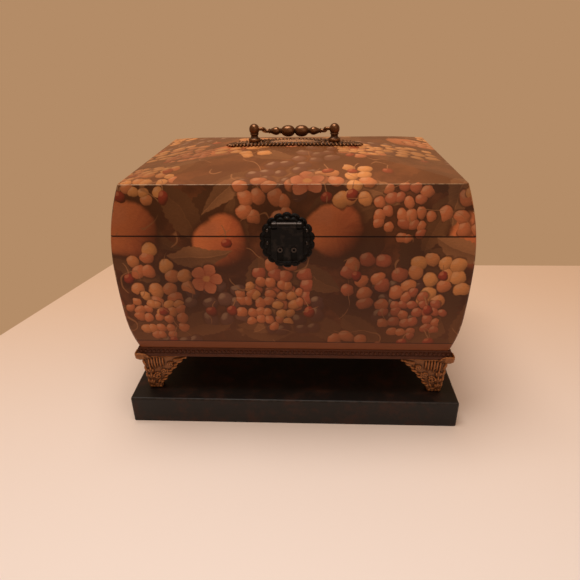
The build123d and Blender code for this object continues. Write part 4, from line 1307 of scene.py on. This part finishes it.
class KEEPSAKE_OT_handle_bail(bpy.types.Operator):
    """Model the turned drop handle between the posts"""

    bl_idname = "keepsake.handle_bail"
    bl_label = "Drop handle"

    # Radius of a post's head, the gap beside it, and the arm's own radius, in millimetres
    post_head_radius = 4.45
    arm_gap = 2.4
    arm_radius = 1.5

    def execute(self, context):
        pivot = joint_place("handle_hinge")
        low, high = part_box("handle_bail")
        bead_radius = max(radius for _, radius in BEAD_STATIONS)
        drop = pivot.z - (low.z / MM + bead_radius)
        depth = high.y / MM - bead_radius
        bar = rings("bail_bar", BEAD_STATIONS, 28)
        put(bar, Matrix.Rotation(pi / 2, 4, "Y"))
        half = joined("bail_half", [bar, self.arm(depth, drop)])
        put(half, Matrix.Translation(Vector((0, depth, pivot.z - drop)) * MM))
        other = copied(half, Matrix.Diagonal((-1, 1, 1, 1)))
        bail = joined("turned_drop_handle", [half, other])
        finished(bail, "handle_bail", turned_bronze(context), ["handle_bail"], 50)
        return {"FINISHED"}

    def arm(self, depth, drop):
        """The bent arm from the bar's end to the pin in the post, as one tube with a collar."""
        corner_x = POST_X - self.post_head_radius - self.arm_gap - self.arm_radius
        curve = bpy.data.curves.new("arm", "CURVE")
        curve.dimensions = "3D"
        curve.bevel_depth = 1.0 * MM
        curve.bevel_resolution = 5
        curve.resolution_u = 6
        curve.use_fill_caps = True
        points = [
            (23.4, 0, 0, 1.6), (25.4, 0, 0, 1.55), (corner_x + 0.3, -0.4, 0.1, 1.7),
            (corner_x + 0.5, -depth * 0.25, drop * 0.25, 1.7), (corner_x + 0.4, -depth * 0.5, drop * 0.5, 2.2),
            (corner_x + 0.3, -depth * 0.75, drop * 0.75, 1.7), (corner_x + 0.6, -depth + 0.4, drop - 0.1, 1.6),
            (corner_x + 2.6, -depth, drop, 1.5), (POST_X + 1.0, -depth, drop, 1.5),
        ]
        spline = curve.splines.new("NURBS")
        spline.points.add(len(points) - 1)
        for point, (x, y, z, radius) in zip(spline.points, points):
            point.co = (x * MM, y * MM, z * MM, 1)
            point.radius = radius
        spline.order_u = 3
        spline.use_endpoint_u = True
        arm = bpy.data.objects.new("bail_arm", curve)
        bpy.context.scene.collection.objects.link(arm)
        only(arm)
        bpy.ops.object.convert(target="MESH")
        return bpy.context.object


class KEEPSAKE_OT_clasp(bpy.types.Operator):
    """Model the scalloped clasp plates and paint the clasp"""

    bl_idname = "keepsake.clasp"
    bl_label = "Clasp"

    def execute(self, context):
        c = Palette(context.scene.finish_colours)
        enamel = enamel_material(context)
        upper = self.plate(context, True)
        lower = self.plate(context, False)
        ears = self.ears()
        upper = joined("clasp_upper_scallops", [upper, ears])
        finished(upper, "lid", enamel, ["clasp_upper_plate"], 35)
        finished(lower, "case", enamel, ["clasp_lower_plate"], 35)
        repaint(["clasp_flap", "clasp_pin"], enamel)
        nail_metal = metal_material("dark_nail_metal", c.nail, c.clasp, 0.25, (1, 1, 1))
        repaint(["clasp_studs", "clasp_lower_nails", "clasp_upper_nails"], nail_metal)
        return {"FINISHED"}

    # Share of the plate's radius at which its scallops meet and its beads stand
    notch = 0.925

    # Rise out of the plate in millimetres and share of the radius, from the scalloped edge to the middle
    relief = (
        (0.3, 0.98), (0.35, 0.945), (-0.2, 0.915), (-0.35, 0.88), (0.0, 0.855), (0.45, 0.835),
        (0.45, 0.80), (0.0, 0.775), (-0.1, 0.6), (0.0, 0.4), (0.1, 0.2),
    )

    # Where the ears begin and where their webs stand, in millimetres to each side of the clasp's middle
    ear_start = 7.65
    web_middle = 9.45

    def plate(self, context, is_upper):
        """One half of the stamped plate: scalloped edge, raised rim, beads and a sunk field."""
        scallops = context.scene.box_sizes.scallops
        low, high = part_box("clasp_lower_plate")[0] / MM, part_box("clasp_upper_plate")[1] / MM
        middle_z, half_z = (low.z + high.z) / 2, (high.z - low.z) / 2
        half_x = CLASP_X - low.x
        points_each = 8
        count = scallops * points_each
        name = "clasp_upper_half" if is_upper else "clasp_lower_scallops"
        plate = start(name, "circle", vertices=count, radius=MM, fill_type="NOTHING")

        def scalloped(place, number):
            turn = 2 * pi * (number + points_each / 2) / count
            edge = self.notch + (1 - self.notch) * abs(cos(turn * scallops / 2)) ** 0.6
            return half_x * edge * sin(turn), 0, half_z * edge * cos(turn)

        def on_front(place, number):
            z = place.z + middle_z
            return place.x + CLASP_X, place.y + front_y(z) - 0.1, z

        reshaped(plate, scalloped)
        bpy.ops.mesh.select_all(action="SELECT")
        bpy.ops.mesh.edge_face_add()
        shrunk = 1.0
        for rise, share in self.relief:
            pulled((0, -rise, 0))
            stretched((share / shrunk, 1, share / shrunk))
            shrunk = share
        reshaped(plate, on_front)
        for step in range(scallops):
            turn = 2 * pi * step / scallops
            x = CLASP_X + half_x * self.notch * sin(turn)
            z = middle_z + half_z * self.notch * cos(turn)
            if (z > LID_RIM + 0.8) if is_upper else (z < CASE_RIM - 0.8):
                place = Vector((x, front_y(z) - 0.62, z)) * MM
                bpy.ops.mesh.primitive_uv_sphere_add(segments=10, ring_count=6, radius=0.6 * MM, location=place)
        put(closed(plate))
        cut_flat(plate, LID_RIM if is_upper else CASE_RIM, is_upper)
        return plate

    def ears(self):
        """The two ears that carry the clasp's pin."""
        pivot = joint_place("clasp_hinge")
        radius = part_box("clasp_flap")[1].z / MM - pivot.z
        parts = []
        for side in (-1, 1):
            ear = rings("ear", ((0, radius - 0.2), (0.25, radius), (3.3, radius), (3.6, radius - 0.25)), 24)
            turned = Matrix.Rotation(side * pi / 2, 4, "Y")
            place = Vector((CLASP_X + side * self.ear_start, pivot.y, pivot.z)) * MM
            parts.append(put(ear, Matrix.Translation(place) @ turned))
            place = Vector((CLASP_X + side * self.web_middle, pivot.y + 1.9, pivot.z)) * MM
            web = start("web", "cube", size=MM, location=place)
            stretched((3.5, 3.4, 1.7), place)
            bpy.ops.mesh.bevel(offset=0.3 * MM, segments=2, affect="EDGES")
            parts.append(put(web))
        return joined("ears", parts)


class KEEPSAKE_OT_small_metal(bpy.types.Operator):
    """Give the hinges, pins and screws their metal"""

    bl_idname = "keepsake.small_metal"
    bl_label = "Hinges and screws"

    def execute(self, context):
        c = Palette(context.scene.finish_colours)
        brass = metal_material("hinge_brass", c.hinge, c.bronze_low, 0.22, (0.1, 1, 1))
        steel = metal_material("screw_steel", c.screw, c.bronze_low, 0.3, (1, 1, 1))
        hinge_parts = ("case_leaf", "lid_leaf", "pin")
        repaint([f"hinge_{part}_{side}" for part in hinge_parts for side in ("left", "right")], brass)
        screwed = ("plinth", "foot", "hinge_case", "hinge_lid", "handle")
        repaint([f"{part}_screws" for part in screwed], steel)
        return {"FINISHED"}


class KEEPSAKE_OT_lining(bpy.types.Operator):
    """Model the velvet pads that line the case and the lid"""

    bl_idname = "keepsake.lining"
    bl_label = "Velvet lining"

    def execute(self, context):
        velvet = velvet_material(context)
        crown = context.scene.box_sizes.pile / MM
        for node, name, body in (
            ("case_floor_lining", "velvet_case_floor", "case"),
            ("lid_top_lining", "velvet_lid_top", "lid"),
            ("case_wall_lining", "velvet_case_walls", "case"),
            ("lid_wall_lining", "velvet_lid_walls", "lid"),
        ):
            low, high = (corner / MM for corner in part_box(node))
            make = self.wall_pads if node.endswith("wall_lining") else self.flat_pad
            pad = make(name, low, high, crown, body == "lid")
            finished(pad, body, velvet, [node], 60)
        return {"FINISHED"}

    # Distances in from a pad's edge over which it rounds off and swells, in millimetres
    rounding = 3.0
    swelling = 18.0

    def crowned(self, name, width, depth, crown):
        """A pad that lies flat, thin and rounded at its edges and fuller in the middle, about the origin."""
        pad = start(name, "grid", x_subdivisions=36, y_subdivisions=24, size=MM)
        stretched((width, depth, 1))

        def swollen(place, number):
            x, y = abs(place.x), abs(place.y)
            margin = max(min(width / 2 - x, depth / 2 - y), 0)
            edge = min(margin / self.rounding, 1.0)
            wave = 0.12 * sin(x * 0.19 + 1.1) * sin(y * 0.23 + 0.4)
            swell = crown * min(margin / self.swelling, 1.0) ** 0.5
            body = LINING_THICKNESS * (0.45 + 0.55 * sqrt(1 - (1 - edge) ** 2))
            return place.x, place.y, body + swell + wave * min(margin / 8, 1)

        def flat(place, number):
            return place.x, place.y, 0

        reshaped(pad, swollen)
        bpy.ops.mesh.select_all(action="SELECT")
        pulled((0, 0, 0))
        reshaped(pad, flat, True)
        return closed(pad)

    def flat_pad(self, name, low, high, crown, is_ceiling):
        """The floor's pad, or the lid's, which hangs under the two arches."""
        pad = self.crowned(name, high.x - low.x, high.y - low.y, crown)
        if not is_ceiling:
            return put(pad, Matrix.Translation((0, 0, low.z * MM)))

        def hung(place, number):
            return place.x, place.y, place.z + arch_z(place.x, place.y) - LID_TOP_THICKNESS - LINING_GAP

        put(pad, Matrix.Rotation(pi, 4, "X"))
        return bent(pad, hung)

    def wall_pads(self, name, low, high, crown, is_under_arch):
        """Four pads that stand against the walls; in the lid their upper edges follow the arches."""
        pads = []
        height = high.z - low.z
        headroom = LID_TOP_THICKNESS + LINING_THICKNESS + 2 * LINING_GAP

        def lowered(place, number):
            share = (place.z - low.z) / (top - low.z)
            return place.x, place.y, low.z + share * (arch_z(place.x, place.y) - headroom - low.z)

        side_span = high.y - LINING_THICKNESS - LINING_GAP
        for turn, reach, span in (
            (0, high.y, high.x),
            (180, high.y, high.x),
            (90, high.x, side_span),
            (270, high.x, side_span),
        ):
            pad = self.crowned(name, 2 * span, height, crown * 0.6)
            place = Matrix.Translation(Vector((0, reach, low.z + height / 2)) * MM)
            put(pad, Matrix.Rotation(radians(turn), 4, "Z") @ place @ Matrix.Rotation(pi / 2, 4, "X"))
            if is_under_arch:
                top = max(vertex.co.z for vertex in pad.data.vertices) / MM
                bent(pad, lowered)
            pads.append(pad)
        return joined(name, pads)


class KEEPSAKE_OT_stage(bpy.types.Operator):
    """Set up the floor, the soft studio light and the camera"""

    bl_idname = "keepsake.stage"
    bl_label = "Stage"

    table = linear(226, 196, 170)
    table_painted_light = linear(243, 236, 235)
    wall = linear(180, 140, 103)
    world_light = 0.8
    lamp_aim = Vector((0, 0, 0.12))

    # The table's back edge, and its left edge as a slope along Y and an offset, in metres
    table_edge = 0.242
    table_side = (0.293, 0.3627)

    # The camera: focal length and picture width in pixels, sensor width and place in millimetres
    focal_length = 503.2
    picture_width = 580
    sensor_width = 36
    camera_place = (17.9, -457.7, 314.3)
    yaw, tilt, roll = radians(-2.95), radians(27.06), radians(-0.96)

    def execute(self, context):
        self.floor()
        self.world(context)
        self.lamps()
        self.camera(context)
        return {"FINISHED"}

    def floor(self):
        """The table's top, painted paler towards the front as if lit more there, which glows like the wall
        beyond its back and left edges.
        """
        floor = start("studio_floor", "plane", size=8.0, location=(0, 0, 0))
        deselect()
        paint = Paint("studio_floor")
        x, y, _ = paint.object_place().parts()
        slope, offset = self.table_side
        left_of_table = y * slope - offset - x
        beyond = paint.soft(paint.most(y - self.table_edge, left_of_table), -1 * MM, 1 * MM)
        # Painted light: the table is made paler towards the front, as if a lamp lit it more there
        colour = paint.mix(paint.soft(y, 0.25, -0.4), self.table, self.table_painted_light)
        top = paint.node("ShaderNodeBsdfPrincipled", {}, {"Base Color": colour, "Roughness": 0.6})
        glow = paint.node("ShaderNodeEmission", {}, {"Color": (*self.wall, 1), "Strength": 1.0})
        mixed = paint.node("ShaderNodeMixShader", {}, {0: beyond, 1: top, 2: glow})
        paint.node("ShaderNodeOutputMaterial", {}, {"Surface": mixed})
        floor.data.materials.append(paint.material)

    def world(self, context):
        """Even warm light, with the wall's plain colour behind the floor."""
        world = bpy.data.worlds.new("studio")
        context.scene.world = world
        nodes = Nodes(world)
        is_seen = nodes.node("ShaderNodeLightPath", {}, {}, "Is Camera Ray")
        light, seen = (
            nodes.node("ShaderNodeBackground", {}, {"Color": (*self.wall, 1), "Strength": strength})
            for strength in (self.world_light, 1.0)
        )
        mixed = nodes.node("ShaderNodeMixShader", {}, {0: is_seen, 1: light, 2: seen})
        nodes.node("ShaderNodeOutputWorld", {}, {"Surface": mixed})

    def lamps(self):
        """A large soft lamp above the box and a weaker one in front of it, on the right."""
        for name, place, size, power in (
            ("key", (-0.15, -0.05, 1.35), 0.7, 13),
            ("fill", (0.5, -0.9, 0.8), 1.0, 1.5),
        ):
            lamp = bpy.data.lights.new(name, "AREA")
            lamp.size = size
            lamp.energy = power
            lamp.color = (1.0, 0.95, 0.88)
            holder = bpy.data.objects.new(name, lamp)
            holder.location = place
            holder.rotation_euler = (self.lamp_aim - Vector(place)).to_track_quat("-Z", "Y").to_euler()
            bpy.context.scene.collection.objects.link(holder)

    def camera(self, context):
        """The view from the front, a little from above, fitted to the box's corners."""
        yaw, tilt, roll = self.yaw, self.tilt, self.roll
        forward = Vector((sin(yaw) * cos(tilt), cos(yaw) * cos(tilt), -sin(tilt)))
        right = Vector((cos(yaw), -sin(yaw), 0))
        up = right.cross(forward)
        level_right = right * cos(roll) + up * sin(roll)
        level_up = up * cos(roll) - right * sin(roll)
        lens = bpy.data.cameras.new("camera")
        lens.sensor_width = self.sensor_width
        lens.lens = self.sensor_width * self.focal_length / self.picture_width
        lens.shift_x = -0.5 / self.picture_width
        holder = bpy.data.objects.new("camera", lens)
        turn = Matrix((level_right, level_up, -forward)).transposed().to_4x4()
        holder.matrix_world = Matrix.Translation(Vector(self.camera_place) * MM) @ turn
        context.scene.collection.objects.link(holder)
        context.scene.camera = holder
        context.scene.view_settings.view_transform = "Standard"


PIECE_OPERATORS = (
    KEEPSAKE_OT_walls,
    KEEPSAKE_OT_board,
    KEEPSAKE_OT_mouldings,
    KEEPSAKE_OT_feet,
    KEEPSAKE_OT_handle_plate,
    KEEPSAKE_OT_handle_posts,
    KEEPSAKE_OT_handle_bail,
    KEEPSAKE_OT_clasp,
    KEEPSAKE_OT_small_metal,
    KEEPSAKE_OT_lining,
    KEEPSAKE_OT_stage,
)


class KEEPSAKE_PT_panel(bpy.types.Panel):
    """Sidebar panel that lists the box's operators and settings"""

    bl_idname = "KEEPSAKE_PT_panel"
    bl_label = "Keepsake Box"
    bl_space_type = "VIEW_3D"
    bl_region_type = "UI"
    bl_category = "Keepsake Box"

    def draw(self, context):
        column = self.layout.column()
        for group in (context.scene.box_sizes, context.scene.print_colours, context.scene.finish_colours):
            for name in group.__annotations__:
                column.prop(group, name)
        for operator in PIECE_OPERATORS:
            column.operator(operator.bl_idname)


CLASSES = (PrintColours, FinishColours, BoxSizes, *PIECE_OPERATORS, KEEPSAKE_PT_panel)


def register():
    for listed in CLASSES:
        bpy.utils.register_class(listed)
    bpy.types.Scene.print_colours = PointerProperty(type=PrintColours)
    bpy.types.Scene.finish_colours = PointerProperty(type=FinishColours)
    bpy.types.Scene.box_sizes = PointerProperty(type=BoxSizes)


def unregister():
    del bpy.types.Scene.box_sizes
    del bpy.types.Scene.finish_colours
    del bpy.types.Scene.print_colours
    for listed in reversed(CLASSES):
        bpy.utils.unregister_class(listed)


def main():
    """Register the classes and build every piece in order."""
    register()
    for operator in PIECE_OPERATORS:
        group, name = operator.bl_idname.split(".")
        getattr(getattr(bpy.ops, group), name)()


if __name__ == "__main__":
    main()
